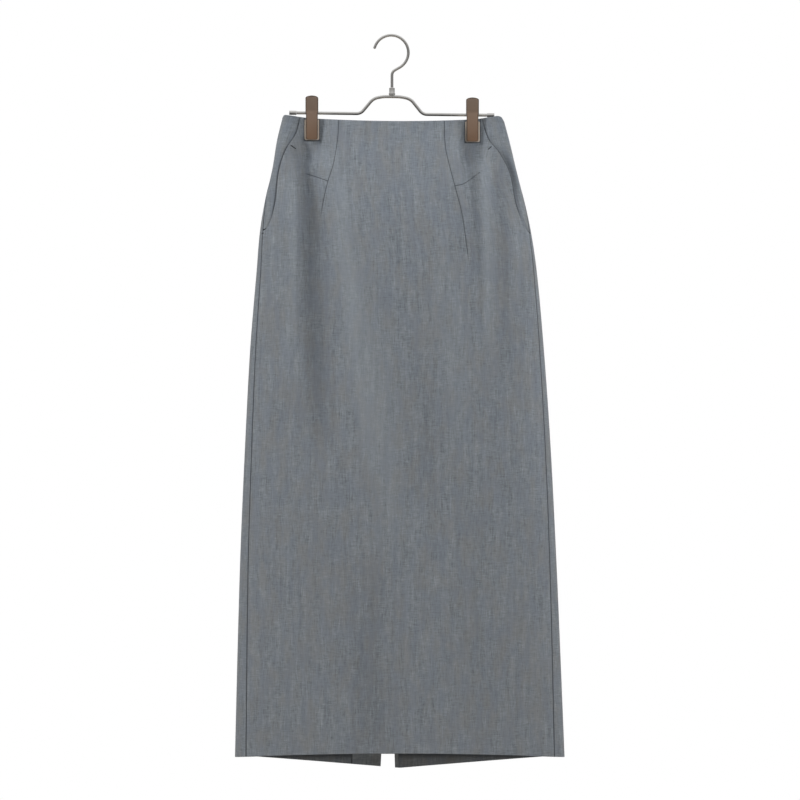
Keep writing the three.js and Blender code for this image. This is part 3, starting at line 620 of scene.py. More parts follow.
def shell(name, outer, inner, grain, crevice, rounding=0.45, material=None, inner_painted_shade=0.0):
    """A closed wall from like grids of outer and inner points, its edges turned and round."""
    outer, inner = outer.copy(), inner.copy()
    tall, wide = outer.shape[:2]
    rim = [(0, i) for i in range(wide)] + [(j, wide - 1) for j in range(1, tall)]
    rim += [(tall - 1, i) for i in range(wide - 2, -1, -1)] + [(j, 0) for j in range(tall - 2, 0, -1)]
    j, i = np.array(rim).T
    within = (np.clip(j, 1, tall - 2), np.clip(i, 1, wide - 2))
    out = outer[j, i] - outer[within]
    room = np.linalg.norm(out, axis=-1, keepdims=True)
    out /= room
    edge, through = outer[j, i].copy(), inner[j, i] - outer[j, i]
    radius = np.minimum(rounding, 0.4 * room)
    deep = radius / np.linalg.norm(through, axis=-1, keepdims=True)
    outer[j, i] -= out * radius
    inner[j, i] -= out * radius
    corner = 1 - math.sqrt(0.5)
    loops = [
        edge - out * radius * corner + through * deep * corner,
        edge + through * deep,
        edge + through * (1 - deep),
        edge - out * radius * corner + through * (1 - deep * corner),
    ]
    points = np.concatenate([outer.reshape(-1, 3), inner.reshape(-1, 3), *loops]) * MM
    count = tall * wide
    a = (np.arange(tall - 1)[:, None] * wide + np.arange(wide - 1)).ravel()
    front = np.stack([a, a + wide, a + wide + 1, a + 1], -1)
    back = np.stack([a, a + 1, a + wide + 1, a + wide], -1) + count
    first = j * wide + i
    rings = [first] + [2 * count + k * len(rim) + np.arange(len(rim)) for k in range(4)] + [first + count]
    walls = [
        np.stack([near, np.roll(near, -1), np.roll(far, -1), far], -1)
        for near, far in zip(rings, rings[1:])
    ]
    faces = np.concatenate([front, back, *walls])
    made = add_mesh(name, points.tolist(), faces.tolist(), material or SUITING)
    at_rim = grain[j, i]
    maps = np.concatenate([grain.reshape(-1, 2)] * 2 + [at_rim] * 4) * MM
    layer = made.data.uv_layers.new(name="grain")
    layer.data.foreach_set("uv", maps[faces.ravel()].ravel())
    # Painted shade and highlight for the outside, the inside and the rim, kept on the points for the
    # finishes to read.
    inside = (inner_painted_shade + np.zeros((tall, wide))).ravel()
    shade = np.concatenate([crevice.ravel(), inside, *[crevice[j, i]] * 4])
    made.data.attributes.new("crevice", "FLOAT", "POINT").data.foreach_set("value", shade)
    return made


def grain_map(points, centre):
    """Across and down the cloth: the distance round from one column, and the drop."""
    steps = np.linalg.norm(np.diff(points, axis=1), axis=-1)
    around = np.concatenate([np.zeros((len(points), 1)), np.cumsum(steps, 1)], 1)
    around -= around[:, centre : centre + 1]
    return np.stack([around, points[..., 2]], -1)


NARROWEST_SHEET = 0.01
HEM_SHADE = 0.9


def hang_cloth(piece, node, points):
    """Fixes a cloth piece to the skirt in place of its solid."""
    across = np.linalg.norm(np.diff(points, axis=1), axis=-1).sum(1).max() * MM
    fix(piece, node)
    if across < NARROWEST_SHEET:
        return


ROWS = [
    120, 126.6, 127.8, 129, 130.2, 131.4, 136, 145, 150, 151.2, 152.4, 153.4, 154.4, 155.4, 156.6, 165,
    178, 190, 200, 210, 222, 236, 252, 270, 284, 286, 315, 345, 385, 430, 490, 560, 640, 720, 745, 770,
    820, 880, 960, 1010, 1039.2, 1040,
]  # fmt: skip
FURROW = (-4.2, -2.2, -1.0, -0.45, 0, 0.45, 1.0, 2.2, 4.2)
DART_FADE = 13
SEAM_SHADE_WIDTH = 0.5
# How far columns lie inside an edge, and the most of the underlap's width that this may be.
EDGE_STEPS = ((0.5, 0.3), (1.3, 0.42), (2.6, 0.46), (99, 0.5), (99, 1))
# The turned edge of the pocket mouths stands up a little: how far inside it, how wide and how high.
LIP = (1.3, 1.1, 0.55)


def seam_turn(hand):
    if hand == "left":
        return lambda drop, *_: 180 + seam_lean["left"](drop)
    return lambda drop, *_: 360 - seam_lean["right"](drop)


def pocket_turn(hand):
    return lambda drop, *_: front_turn(pocket_x[hand](drop), drop)


def underlap(drop):
    return mix(UNDERLAP_WAIST, UNDERLAP_BELOW, ease(drop, CLIP_GRIP_END - 20, UNDERLAP_FULL))


def shifted(column, distance):
    """A column moved round the skirt by a distance over the cloth."""

    def moved(drop, *row):
        turn = column(drop, *row)
        speed = np.linalg.norm(skin(turn + 0.2, drop) - skin(turn - 0.2, drop), axis=-1) / 0.4
        return turn + distance / speed

    return moved


# Columns this far outside the pad's edge carry the painted shadow round it.
CLIP_STEPS = (-0.8, -0.2, 0.5, 1.3)


def beside_clip(hand, to_turn, inner, outer, shares):
    """The columns on both sides of a clip stay beside it, and spread out evenly below."""

    def column(side, step, share):
        x = CLIP_X[hand] + HANDS[hand] * side * (CLIP_FLAT + step)
        return lambda drop, *row: mix(
            to_turn(x, drop),
            mix(inner(drop, *row), outer(drop, *row), share + side * step * 0.01),
            ease(drop, CLIP_GRIP_END + 4, 235),
        )

    made = [column(-1, step, shares[0]) for step in CLIP_STEPS[::-1]]
    return made + [column(1, step, shares[1]) for step in CLIP_STEPS]


def front_panel():
    edge, lap = {}, {}
    for hand, sign in HANDS.items():
        sewn = shifted(seam_turn(hand), -sign * SEAM_GAP / 2)

        def mouth(drop, row, hand=hand, sewn=sewn):
            return np.where(row > POCKET_END, sewn(drop), pocket_turn(hand)(drop))

        def within(step, share, sign=sign, mouth=mouth):
            return lambda drop, row: front_turn(
                skin(mouth(drop, row), drop)[..., 0]
                - sign * np.minimum(step, share * underlap(drop)),
                drop,
            )

        edge[hand] = mouth
        lap[hand] = [within(*step) for step in EDGE_STEPS]

    def dart(hand, offset):
        return lambda drop, *_: front_turn(dart_x[hand](drop) + offset, drop)

    left_dart = [dart("left", offset) for offset in FURROW]
    right_dart = [dart("right", offset) for offset in FURROW]
    left_clip = beside_clip("left", front_turn, left_dart[0], lap["left"][-1], (0.4, 0.7))
    right_clip = beside_clip("right", front_turn, right_dart[-1], lap["right"][-1], (0.4, 0.7))
    keys = [edge["left"], *lap["left"], *left_clip[::-1], *left_dart]
    keys += [*right_dart, *right_clip, *lap["right"][::-1], edge["right"]]
    cross_rows = [CROSS_ROW + offset for offset in FURROW if offset]
    rows = finer(sorted(ROWS + cross_rows))
    turn, drop, _ = settle(keys, rows, front_share)
    middle_points = skin(turn, drop, creased=True)
    out = outward(turn, drop)
    x = middle_points[..., 0]
    sunk, crevice = np.zeros(x.shape), fold_shade_and_highlight(turn, drop)
    for hand, sign in HANDS.items():
        end = DARTS[hand][-1]["drop"]
        fade = np.clip((end - drop) / DART_FADE, 0, 1)
        sunk += groove(x - dart_x[hand](drop)) * fade
        crevice = mix(crevice, 1, seam_shade(x - dart_x[hand](drop)) * fade)
        beyond = (x * sign > np.abs(dart_x[hand](drop))) * np.clip(
            (cross_end[hand] + 2 - x * sign) / 6, 0, 1
        )
        off = drop - cross_drop[hand](x)
        sunk += groove(off) * beyond
        crevice = mix(crevice, 1, seam_shade(off) * beyond)
        from_mouth = np.abs(pocket_x[hand](drop)) - x * sign
        lip = LIP[2] * np.exp(-(((from_mouth - LIP[0]) / LIP[1]) ** 2))
        sunk -= lip * ease(drop, 150, 175) * ease(POCKET_END - drop, 4, 40)
    outer = middle_points - out * sunk[..., None]
    inner = middle_points - out * CLOTH
    # Painted shade along the side edges: a shadow line at the pocket mouths, and a darker one down the
    # side seams.
    for edge_column, shade in ((0, 1), (1, 0.4), (-2, 0.4), (-1, 1)):
        sewn_up = ease(drop[:, edge_column], POCKET_END - 4, POCKET_END + 12)
        crevice[:, edge_column] = mix(crevice[:, edge_column], 1, shade * mix(0.2, 0.95, sewn_up))
    # Painted shadow round the clips' pads, and painted shade along the hem's lower edge.
    crevice = mix(crevice, 1, pad_shadow(x, drop))
    crevice[-1] = HEM_SHADE
    centre = turn.shape[1] // 2
    piece = shell("front_panel_cloth", outer, inner, grain_map(middle_points, centre), crevice)
    hang_cloth(piece, "front_panel", middle_points)


front_panel()

# The hip panels. Small side pieces outside the pocket mouths; they run on under the front's turned
# edge, where the pocket bag would be sewn, and are joined to the back at the side seam.
HIP_DIP = {"left": 0.8, "right": 4.2}
HIP_DIP_TOP, HIP_DIP_END = 140, 255
# Columns this far outside the mouth, and how much of the panel the mouth's own edge hides.
HIP_STEPS = (0.9, 1.8, 3, 4.4, 6)
MOUTH_LIP = 0.6


def hip_panel(hand):
    inwards = -HANDS[hand]

    def under(share):
        return lambda drop, *_: front_turn(
            pocket_x[hand](drop) + inwards * share * underlap(drop), drop
        )

    def beside(step):
        """A column outside the pocket mouth, nearer to it where the panel runs out to a point."""
        return lambda drop, *_: mix(
            pocket_turn(hand)(drop),
            seam(drop),
            np.minimum(0.15 + 0.1 * step, step / np.maximum(room(drop), 0.1)),
        )

    def room(drop):
        return np.abs(skin(seam(drop), drop)[..., 0] - pocket_x[hand](drop))

    seam = shifted(seam_turn(hand), inwards * SEAM_GAP / 2)
    keys = [under(1), under(0.5), pocket_turn(hand), *[beside(step) for step in HIP_STEPS]]
    keys += [shifted(seam, inwards * 0.5), seam]
    rows = finer([row for row in ROWS if row <= POCKET_END], 2.4)
    turn, drop, _ = settle(keys, rows, plain_share, spacing=2.4, fine=(0, 1))
    points, out = skin(turn, drop, creased=True), outward(turn, drop)
    beyond = np.maximum((points[..., 0] - pocket_x[hand](drop)) * -inwards, 0)
    share = np.clip(beyond / np.maximum(room(drop), 1), 0, 1)
    gape = np.sin(np.pi * np.clip((drop - HIP_DIP_TOP) / (HIP_DIP_END - HIP_DIP_TOP), 0, 1))
    sunk = (CLOTH + LAYER_GAP) * (1 - ease(share, 0, 0.45))
    sunk = sunk + HIP_DIP[hand] * gape * np.sin(np.pi * np.minimum(share * 1.3, 1))
    roll = 0.5 * np.exp(-((room(drop) * (1 - share) / 2.2) ** 2))
    outer = points - out * (sunk + roll)[..., None]
    # Painted shadow cast by the front's turned edge into the pocket mouth, painted shade in the dip
    # beside it, and painted shade along the side seam.
    seen = (outer[..., 0] - pocket_x[hand](drop)) * -inwards - MOUTH_LIP
    crevice = np.exp(-((np.maximum(seen, 0) / 1.4) ** 2)) * ease(POCKET_END - drop, 12, 40)
    crevice = crevice * mix(0.6, 1, ease(drop, 140, 160))
    dip_shade = HIP_DIP[hand] / HIP_DIP["right"] * gape * np.exp(-(((seen - 2.5) / 5) ** 2))
    crevice = np.maximum(crevice, dip_shade * 0.62)
    crevice[:, -1] = 0.9
    inner = points - out * (sunk + CLOTH)[..., None]
    if hand == "left":
        outer, inner, crevice = outer[:, ::-1], inner[:, ::-1], crevice[:, ::-1]
    grain = grain_map(outer, 0)
    piece = shell(f"hip_panel_{hand}_cloth", outer, inner, grain, crevice)
    hang_cloth(piece, f"hip_panel_{hand}", points)


for hand in HANDS:
    hip_panel(hand)

# The slit's facings. The left edge of the slit is faced with a wide strip of suiting, which shows below
# the front hem. The right edge has only a narrow turning, which belongs to its back panel.
FACING = 1.0
FACING_RISE = 25
CENTRE_BACK_WAIST, CENTRE_BACK_HEM = 2, -4.8
SLIT_TOP, SLIT_OPEN, SLIT_BOW = 745, 21, 1.4
SLIT_FACING = {"left": 42, "right": 6}


def centre_back_x(drop):
    return mix(CENTRE_BACK_WAIST, CENTRE_BACK_HEM, row_share(drop))


def slit_gap(drop):
    run = np.clip((drop - SLIT_TOP) / (BACK_HEM - SLIT_TOP), 0, 1)
    return SEAM_GAP + (SLIT_OPEN - SEAM_GAP) * run**SLIT_BOW


def back_column(hand, distance):
    sign = HANDS[hand]
    return lambda drop, *_: back_turn(
        centre_back_x(drop) + sign * (slit_gap(drop) / 2 + distance), drop
    )


def slit_facing(hand):
    width = SLIT_FACING[hand]
    keys = [back_column(hand, 0), back_column(hand, width)]
    rows = finer([row for row in ROWS if row >= SLIT_TOP - FACING_RISE])
    turn, drop, _ = settle(keys, rows, plain_share, spacing=2.8)
    points, out = skin(turn, drop, creased=True), outward(turn, drop)
    outer = points - out * (CLOTH + LAYER_GAP)
    inner = outer - out * FACING
    crevice = np.zeros(drop.shape)
    # Painted shade along the facing's free edge.
    crevice[:, -1] = 0.9
    if hand == "right":
        outer, inner, crevice = outer[:, ::-1], inner[:, ::-1], crevice[:, ::-1]
    name = f"slit_facing_{hand}_cloth"
    piece = shell(name, outer, inner, grain_map(outer, 0), crevice, 0.35)
    hang_cloth(piece, f"slit_facing_{hand}", points)


for hand in HANDS:
    slit_facing(hand)

# The back panels. Two pieces joined at the centre back, with one straight dart each. The seam is
# closed by a concealed zip above, sewn shut below it, and left open from the knee down as a slit.
ZIP_TAPE_HALF, ZIP_END = 12, 315


def back_dart_out(drop):
    return BACK_DART["x"] + BACK_DART["lean_out"] * (drop - BACK_DART["top"])


def back_panel(hand):
    sign = HANDS[hand]

    def dart(offset):
        return lambda drop, *_: back_turn(
            CENTRE_BACK_WAIST + sign * (back_dart_out(drop) + offset), drop
        )

    darts = [dart(offset) for offset in FURROW]
    behind = seam_turn("left") if hand == "left" else lambda drop, *_: seam_turn("right")(drop) - 360
    seam = shifted(behind, sign * SEAM_GAP / 2)
    clip = beside_clip(hand, back_turn, darts[-1], seam, (0.3, 0.5))
    beside_facing = [back_column(hand, SLIT_FACING["left"] + step) for step in (-0.4, 0.2, 0.9, 1.6)]
    keys = [back_column(hand, 0), back_column(hand, 1.2), back_column(hand, 2.6)]
    keys += [back_column(hand, ZIP_TAPE_HALF), *beside_facing]
    keys += [*darts, *clip, shifted(seam, sign * 3), shifted(seam, sign * 1.2), seam]
    turn, drop, place = settle(keys, finer(ROWS), plain_share, spacing=3.8)
    points, out = skin(turn, drop, creased=True), outward(turn, drop)
    off = (points[..., 0] - CENTRE_BACK_WAIST) * sign - back_dart_out(drop)
    fade = np.clip((BACK_DART["end"] - drop) / DART_FADE, 0, 1)
    from_centre = np.clip(place, 0, 2)[None, :] * 1.3
    from_seam = (len(keys) - 1 - np.clip(place, len(keys) - 3, None))[None, :] * 1.5
    roll = 0.5 * np.exp(-((from_centre / 1.1) ** 2)) + 0.5 * np.exp(-((from_seam / 1.1) ** 2))
    # Painted shade and highlight on the folds, and painted shade along the dart, the centre back and the
    # side seam.
    crevice = mix(fold_shade_and_highlight(turn, drop), 1, seam_shade(off) * fade)
    crevice = mix(crevice, 1, np.maximum(seam_shade(from_centre) * 0.8, seam_shade(from_seam)))
    outer = points - out * (groove(off) * fade + roll)[..., None]
    inner = points - out * CLOTH
    # Inside, painted shade along the left facing's edge and under the front hem.
    from_facing = np.abs(place - keys.index(beside_facing[1]) - 0.5)
    inside = np.where(from_facing < 0.6, 0.75, 0)[None, :] * (drop > SLIT_TOP - FACING_RISE)
    inside = inside * (hand == "left")
    inside = np.maximum(inside, 0.9 * (1 - ease(drop, 1041, 1049)))
    if hand == "right":
        outer, inner, crevice, inside = (grid[:, ::-1] for grid in (outer, inner, crevice, inside))
    grain = grain_map(outer, 0 if hand == "left" else outer.shape[1] - 1)
    piece = shell(f"back_panel_{hand}_cloth", outer, inner, grain, crevice, inner_painted_shade=inside)
    hang_cloth(piece, f"back_panel_{hand}", points)


for hand in HANDS:
    back_panel(hand)

# The concealed zip. A woven tape with a nylon coil lies inside the centre back seam, and at its top
# a small lacquered slider sticks out with a drop-shaped pull that swings on the slider's arch.
ZIP_TAPE = 1.0
ZIP_DROP = 136
TOOTH_PITCH = 1.35


def tape_finish():
    tape = Finish("zip_tape", Roughness=0.85, Sheen_Weight=0.15)
    grain = tape.node("ShaderNodeUVMap", {"uv_map": "grain"})
    rib = tape.node("ShaderNodeTexWave", {"bands_direction": "Y"}, {"Vector": grain, "Scale": 420.0})
    tape.surface("Base Color", tape.mix(rib * 0.5, (0.115, 0.125, 0.14), (0.16, 0.172, 0.186)))
    tape.surface("Normal", tape.bump(rib, 0.00015, 0.5))
    return tape.material


def lacquer_finish():
    lacquer = Finish("zip_lacquer", Roughness=0.36, Metallic=0.35, Base_Color=(0.19, 0.205, 0.225, 1))
    place = lacquer.node("ShaderNodeTexCoord", {}, {}, out=3)
    worn = lacquer.noise(place, 900.0, 3.0, 1.7)
    lacquer.surface("Roughness", 0.30 + worn * 0.14)
    return lacquer.material


def centre_back_turn(drop, side=0.0):
    return back_turn(centre_back_x(drop) + side, drop)


def zip_tape():
    half = ZIP_TAPE_HALF + SEAM_GAP / 2
    keys = [lambda drop, *_, s=side: centre_back_turn(drop, s) for side in (half, 0, -half)]
    rows = finer([row for row in ROWS if row <= ZIP_END])
    turn, drop, _ = settle(keys, rows, plain_share, spacing=2.4)
    points, out = skin(turn, drop, creased=True), outward(turn, drop)
    outer = points - out * (CLOTH + LAYER_GAP)
    inner = outer - out * ZIP_TAPE
    outer, inner = outer[:, ::-1], inner[:, ::-1]
    tape = shell(
        "zip_tape_cloth", outer, inner, grain_map(outer, 0), np.zeros(drop.shape), 0.3, tape_finish()
    )
    fix(tape, "zip_tape")


zip_tape()


def bead_tree():
    """Small beads of a given size on every point, turned by the point's lean, as real mesh."""
    tree = bpy.data.node_groups.new("beads", "GeometryNodeTree")
    kinds = {"Points": "NodeSocketGeometry", "Size": "NodeSocketVector", "Finish": "NodeSocketMaterial"}
    for title, kind in kinds.items():
        tree.interface.new_socket(title, in_out="INPUT", socket_type=kind)
    tree.interface.new_socket("Beads", in_out="OUTPUT", socket_type="NodeSocketGeometry")
    given = tree.nodes.new("NodeGroupInput")
    points = tree.nodes.new("GeometryNodeMeshToPoints")
    bead = tree.nodes.new("GeometryNodeMeshUVSphere")
    bead.inputs["Segments"].default_value = 10
    bead.inputs["Rings"].default_value = 6
    bead.inputs["Radius"].default_value = 0.5
    lean = tree.nodes.new("GeometryNodeInputNamedAttribute")
    lean.data_type = "FLOAT_VECTOR"
    lean.inputs["Name"].default_value = "lean"
    placed = tree.nodes.new("GeometryNodeInstanceOnPoints")
    real = tree.nodes.new("GeometryNodeRealizeInstances")
    smooth = tree.nodes.new("GeometryNodeSetShadeSmooth")
    coated = tree.nodes.new("GeometryNodeSetMaterial")
    made = tree.nodes.new("NodeGroupOutput")
    for start, end in (
        (given.outputs["Points"], points.inputs["Mesh"]),
        (points.outputs["Points"], placed.inputs["Points"]),
        (bead.outputs["Mesh"], placed.inputs["Instance"]),
        (next(out for out in lean.outputs if out.enabled), placed.inputs["Rotation"]),
        (given.outputs["Size"], placed.inputs["Scale"]),
        (placed.outputs["Instances"], real.inputs["Geometry"]),
        (real.outputs["Geometry"], smooth.inputs["Geometry"]),
        (smooth.outputs["Geometry"], coated.inputs["Geometry"]),
        (given.outputs["Finish"], coated.inputs["Material"]),
        (coated.outputs["Geometry"], made.inputs["Beads"]),
    ):
        tree.links.new(start, end)
    return tree


BEADS = bead_tree()


def turned_by(along, out):
    """The Euler angles that lay a bead's X along one direction and its Z out of the cloth."""
    along = along / np.linalg.norm(along)
    out = out - along * np.dot(out, along)
    out = out / np.linalg.norm(out)
    side = np.cross(out, along)
    x = math.atan2(side[2], out[2])
    y = math.atan2(-along[2], math.hypot(along[0], along[1]))
    z = math.atan2(along[1], along[0])
    return x, y, z


def beads(name, places, leans, size, finish):
    """Puts beads, sized in millimetres, on places and makes them one piece on the skirt."""
    piece = add_mesh(name, [tuple(np.asarray(p) * MM) for p in places], [], finish)
    piece.data.attributes.new("lean", "FLOAT_VECTOR", "POINT").data.foreach_set(
        "vector", np.array(leans, float).ravel()
    )
    grown = piece.modifiers.new("beads", "NODES")
    grown.node_group = BEADS
    wanted = {"Size": tuple(s * MM for s in size), "Finish": finish}
    for item in BEADS.interface.items_tree:
        if item.item_type == "SOCKET" and item.in_out == "INPUT" and item.name in wanted:
            grown[item.identifier] = wanted[item.name]
    graph = bpy.context.evaluated_depsgraph_get()
    mesh = bpy.data.meshes.new_from_object(piece.evaluated_get(graph))
    piece.modifiers.remove(grown)
    piece.data = mesh
    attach(piece, "skirt")
    return piece


def zip_teeth():
    places, leans = [], []
    count = int((ZIP_END - 4 - ZIP_DROP) / TOOTH_PITCH)
    for k in range(count):
        drop = np.float64(ZIP_DROP + 2 + k * TOOTH_PITCH)
        side = 0.75 if k % 2 else -0.75
        turn = centre_back_turn(drop, side)
        place, out = skin(turn, drop), outward(turn, drop)
        places.append(place - out * (CLOTH + LAYER_GAP + ZIP_TAPE + 0.45))
        leans.append(turned_by(skin(turn - 0.3, drop) - place, out))
    nylon = Finish("zip_nylon", Roughness=0.42, Base_Color=(0.13, 0.142, 0.158, 1))
    beads("zip_teeth", places, leans, (3.4, 1.0, 1.1), nylon.material)


zip_teeth()
SLIDER = {"width": 6, "height": 9, "plate": 1.4, "arch": 1.9, "arch_wire": 0.5, "arch_half": 0.8}
PULL = {"thick": 1.2, "bar": 0.7, "slot_half": 1.5, "slot_end": 3.4, "length": 17, "lean_in": 5}
PULL_HALVES = {"shoulder": 3, "neck": 1.9, "tail": 2.9}
PIVOT_OUT = LAYER_GAP + SLIDER["plate"] + 1.15
zip_drop = np.float64(ZIP_DROP)
zip_place = skin(centre_back_turn(zip_drop), zip_drop)
zip_out = outward(centre_back_turn(zip_drop), zip_drop)
zip_lean = math.atan2(zip_out[2], zip_out[1])


def turned(points, angle):
    """Points turned about the X axis."""
    cos, sin = math.cos(angle), math.sin(angle)
    x, y, z = np.moveaxis(points, -1, 0)
    return np.stack([x, y * cos - z * sin, y * sin + z * cos], -1)


def on_zip(points):
    """From the slider's own upright place to where it lies on the cloth."""
    return turned(np.asarray(points, float), zip_lean) + zip_place


def flat_plate(name, outline, hole, thick, bevel, finish):
    """A plate with bevelled edges, from closed lines in its own plane X and Z, lying round Y = 0."""
    shape = bpy.data.curves.new(name, "CURVE")
    shape.dimensions = "2D"
    shape.fill_mode = "BOTH"
    for line in filter(None, (outline, hole)):
        spline = shape.splines.new("POLY")
        spline.points.add(len(line) - 1)
        spline.points.foreach_set("co", [c * MM for x, z in line for c in (x, z, 0, 0)])
        spline.use_cyclic_u = True
        for point in spline.points:
            point.co[3] = 1
    shape.extrude = (thick / 2 - bevel) * MM
    shape.bevel_depth = bevel * MM
    shape.bevel_resolution = 2
    shape.offset = -bevel * MM
    drawn = bpy.data.objects.new(name, shape)
    mesh = bpy.data.meshes.new_from_object(drawn)
    bpy.data.objects.remove(drawn)
    points = np.zeros(len(mesh.vertices) * 3)
    mesh.vertices.foreach_get("co", points)
    points = points.reshape(-1, 3) / MM
    points = np.stack([points[:, 0], -points[:, 2], points[:, 1]], -1)
    merged = bmesh.new()
    merged.from_mesh(mesh)
    for vertex, place in zip(merged.verts, points):
        vertex.co = place
    bmesh.ops.remove_doubles(merged, verts=merged.verts, dist=0.002)
    bmesh.ops.recalc_face_normals(merged, faces=merged.faces)
    merged.to_mesh(mesh)
    merged.free()
    mesh.materials.clear()
    mesh.materials.append(finish)
    made = bpy.data.objects.new(name, mesh)
    bpy.context.scene.collection.objects.link(made)
    return made


def move_points(piece, where):
    """Moves a piece's points, in millimetres, to where they belong, in metres."""
    points = np.zeros(len(piece.data.vertices) * 3)
    piece.data.vertices.foreach_get("co", points)
    piece.data.vertices.foreach_set("co", (where(points.reshape(-1, 3)) * MM).ravel())
    piece.data.update()


def arc(centre, radius, start, end, count):
    """Points on an arc in a plane, between two angles in degrees."""
    turns = np.radians(np.linspace(start, end, count))
    radius_x, radius_z = radius if isinstance(radius, tuple) else (radius, radius)
    return [(centre[0] + radius_x * math.cos(a), centre[1] + radius_z * math.sin(a)) for a in turns]


def rounded(low, high, radius_low, radius_high):
    (x0, z0), (x1, z1) = low, high
    line = arc((x1 - radius_low, z0 + radius_low), radius_low, -90, 0, 7)
    line += arc((x1 - radius_high, z1 - radius_high), radius_high, 0, 90, 7)
    line += arc((x0 + radius_high, z1 - radius_high), radius_high, 90, 180, 7)
    line += arc((x0 + radius_low, z0 + radius_low), radius_low, 180, 270, 7)
    return line


def tube(name, path, radii, material, sides=24, normal=(0, 1, 0)):
    """A closed tube along a path in a plane with that normal, of radii in the plane and out of it."""
    path, normal = np.asarray(path, float), np.asarray(normal, float)
    along = np.gradient(path, axis=0)
    along /= np.linalg.norm(along, axis=1, keepdims=True)
    side = np.cross(along, normal)
    ring = np.linspace(0, math.tau, sides, endpoint=False)
    points = [
        p + s * (r_in * math.cos(a)) + normal * (r_out * math.sin(a))
        for p, s, (r_in, r_out) in zip(path, side, radii)
        for a in ring
    ]
    faces = []
    for j in range(len(path) - 1):
        for i in range(sides):
            a, b = j * sides + i, j * sides + (i + 1) % sides
            faces.append((a, b, b + sides, a + sides))
    faces.append(tuple(range(sides))[::-1])
    faces.append(tuple(range((len(path) - 1) * sides, len(path) * sides)))
    return add_mesh(name, [tuple(np.asarray(p) * MM) for p in points], faces, material)


LACQUER = lacquer_finish()


def zip_slider():
    width, half = SLIDER["width"], SLIDER["height"] / 2
    outline = rounded((-width / 2, -half), (width / 2, half), 2.2, 1.4)
    plate = flat_plate("zip_slider_plate", outline, None, SLIDER["plate"], 0.35, LACQUER)
    middle_out = np.array([0, LAYER_GAP + SLIDER["plate"] / 2, 0])
    move_points(plate, lambda points: on_zip(points + middle_out))
    turns = np.radians(np.linspace(-62, 242, 40))
    path = [(0, PIVOT_OUT + SLIDER["arch"] * math.sin(a), SLIDER["arch"] * math.cos(a)) for a in turns]
    radii = [(SLIDER["arch_wire"], SLIDER["arch_half"])] * len(path)
    lean = np.array([1.0, 0, 0])
    ring = tube("zip_slider_arch", on_zip(path), radii, LACQUER, 16, lean)
    for piece in (plate, ring):
        fix(piece, "zip_slider")


def zip_pull():
    shoulder, neck, tail = PULL_HALVES["shoulder"], PULL_HALVES["neck"], PULL_HALVES["tail"]
    bar, length = PULL["bar"], PULL["length"]

    def bend(start, control, end, count=7):
        return [
            tuple(
                (1 - t) ** 2 * a + 2 * (1 - t) * t * b + t * t * c
                for a, b, c in zip(start, control, end)
            )
            for t in np.linspace(0, 1, count)
        ]

    left = [(-shoulder, bar), *bend((-shoulder, -4), (-shoulder, -5.5), (-neck, -7))]
    left += bend((-neck, -7), (-tail, -10), (-tail, -length + tail))[1:]
    right = [(-x, z) for x, z in left[::-1]]
    outline = left + arc((0, -length + tail), tail, 180, 360, 15)[1:-1] + right
    half, end = PULL["slot_half"], -PULL["slot_end"]
    hole = [(-half, -bar), (half, -bar), (half, end), (-half, end)]
    pull = flat_plate("zip_pull_plate", outline, hole, PULL["thick"], 0.22, LACQUER)
    move_points(
        pull,
        lambda points: on_zip(
            turned(points, -math.radians(PULL["lean_in"])) + np.array([0, PIVOT_OUT, 0])
        ),
    )
    fix(pull, "zip_pull", body="pull")


zip_slider()
zip_pull()

# Bar tacks and catch stitches, sewn in the skirt's own thread: a short tack across the top of each
# pocket mouth, one at its lower end, and one at the top of the slit.
THREAD = Finish("thread", Roughness=0.7, Sheen_Weight=0.2, Base_Color=(0.020, 0.023, 0.028, 1))
STITCH = (2.6, 0.7, 0.5)
TACKS = table(
    "face x drop end_x end_drop",
    ("front", -145.0, 158, -138.4, 162.6),
    ("front", 140.8, 163.4, 145.2, 159.6),
    ("front", -184.6, 284.6, -186.8, 285.4),
    ("front", 199.4, 284.2, 201.4, 284.9),
    ("back", -0.6, 743.2, 2.8, 743.2),
)


def tacks():
    places, leans = [], []
    for tack in TACKS:
        to_turn = front_turn if tack["face"] == "front" else back_turn
        start = np.array([tack["x"], tack["drop"]])
        way = np.array([tack["end_x"], tack["end_drop"]]) - start
        count = max(3, int(np.hypot(*way) / 0.5))
        for k in range(count + 1):
            x, drop = start + way * k / count
            turn = to_turn(np.float64(x), np.float64(drop))
            place, out = skin(turn, np.float64(drop), creased=True), outward(turn, np.float64(drop))
            places.append(place + out * 0.12)
            across = np.array([-way[1], 0, -way[0]]) * (1 if k % 2 else -1)
            leans.append(turned_by(across + np.array([way[0], 0, -way[1]]) * 0.25, out))
    beads("bar_tacks", places, leans, STITCH, THREAD.material)


tacks()

# The hanger's hook, ferrule and bar. Satin plated steel: round wire bent to a hook, a turned ferrule
# over its end, and a thicker rod with a low crest in the middle and turned caps on its ends.
HOOK = {
    "wire": 4, "inner": 22.9, "tip_turn": 168, "leave_turn": -60, "shank_x": 1.2, "shank_end": 73.7,
    "bend": 5,
}  # fmt: skip
BAR = {"rod": 4.5, "half": 137.6, "arm_drop": 112, "crest_drop": 86.9, "tilt": -0.7, "bend": 6.4}
CREST = {"half_level": 13, "shoulder": 27, "shoulder_down": 3.2, "foot": 45}
CAP = {"length": 10.6, "radius": 3, "edge": 0.7}
FERRULE = {"radius": 4, "top": 74, "collar": 4.6, "collar_height": 2.4}


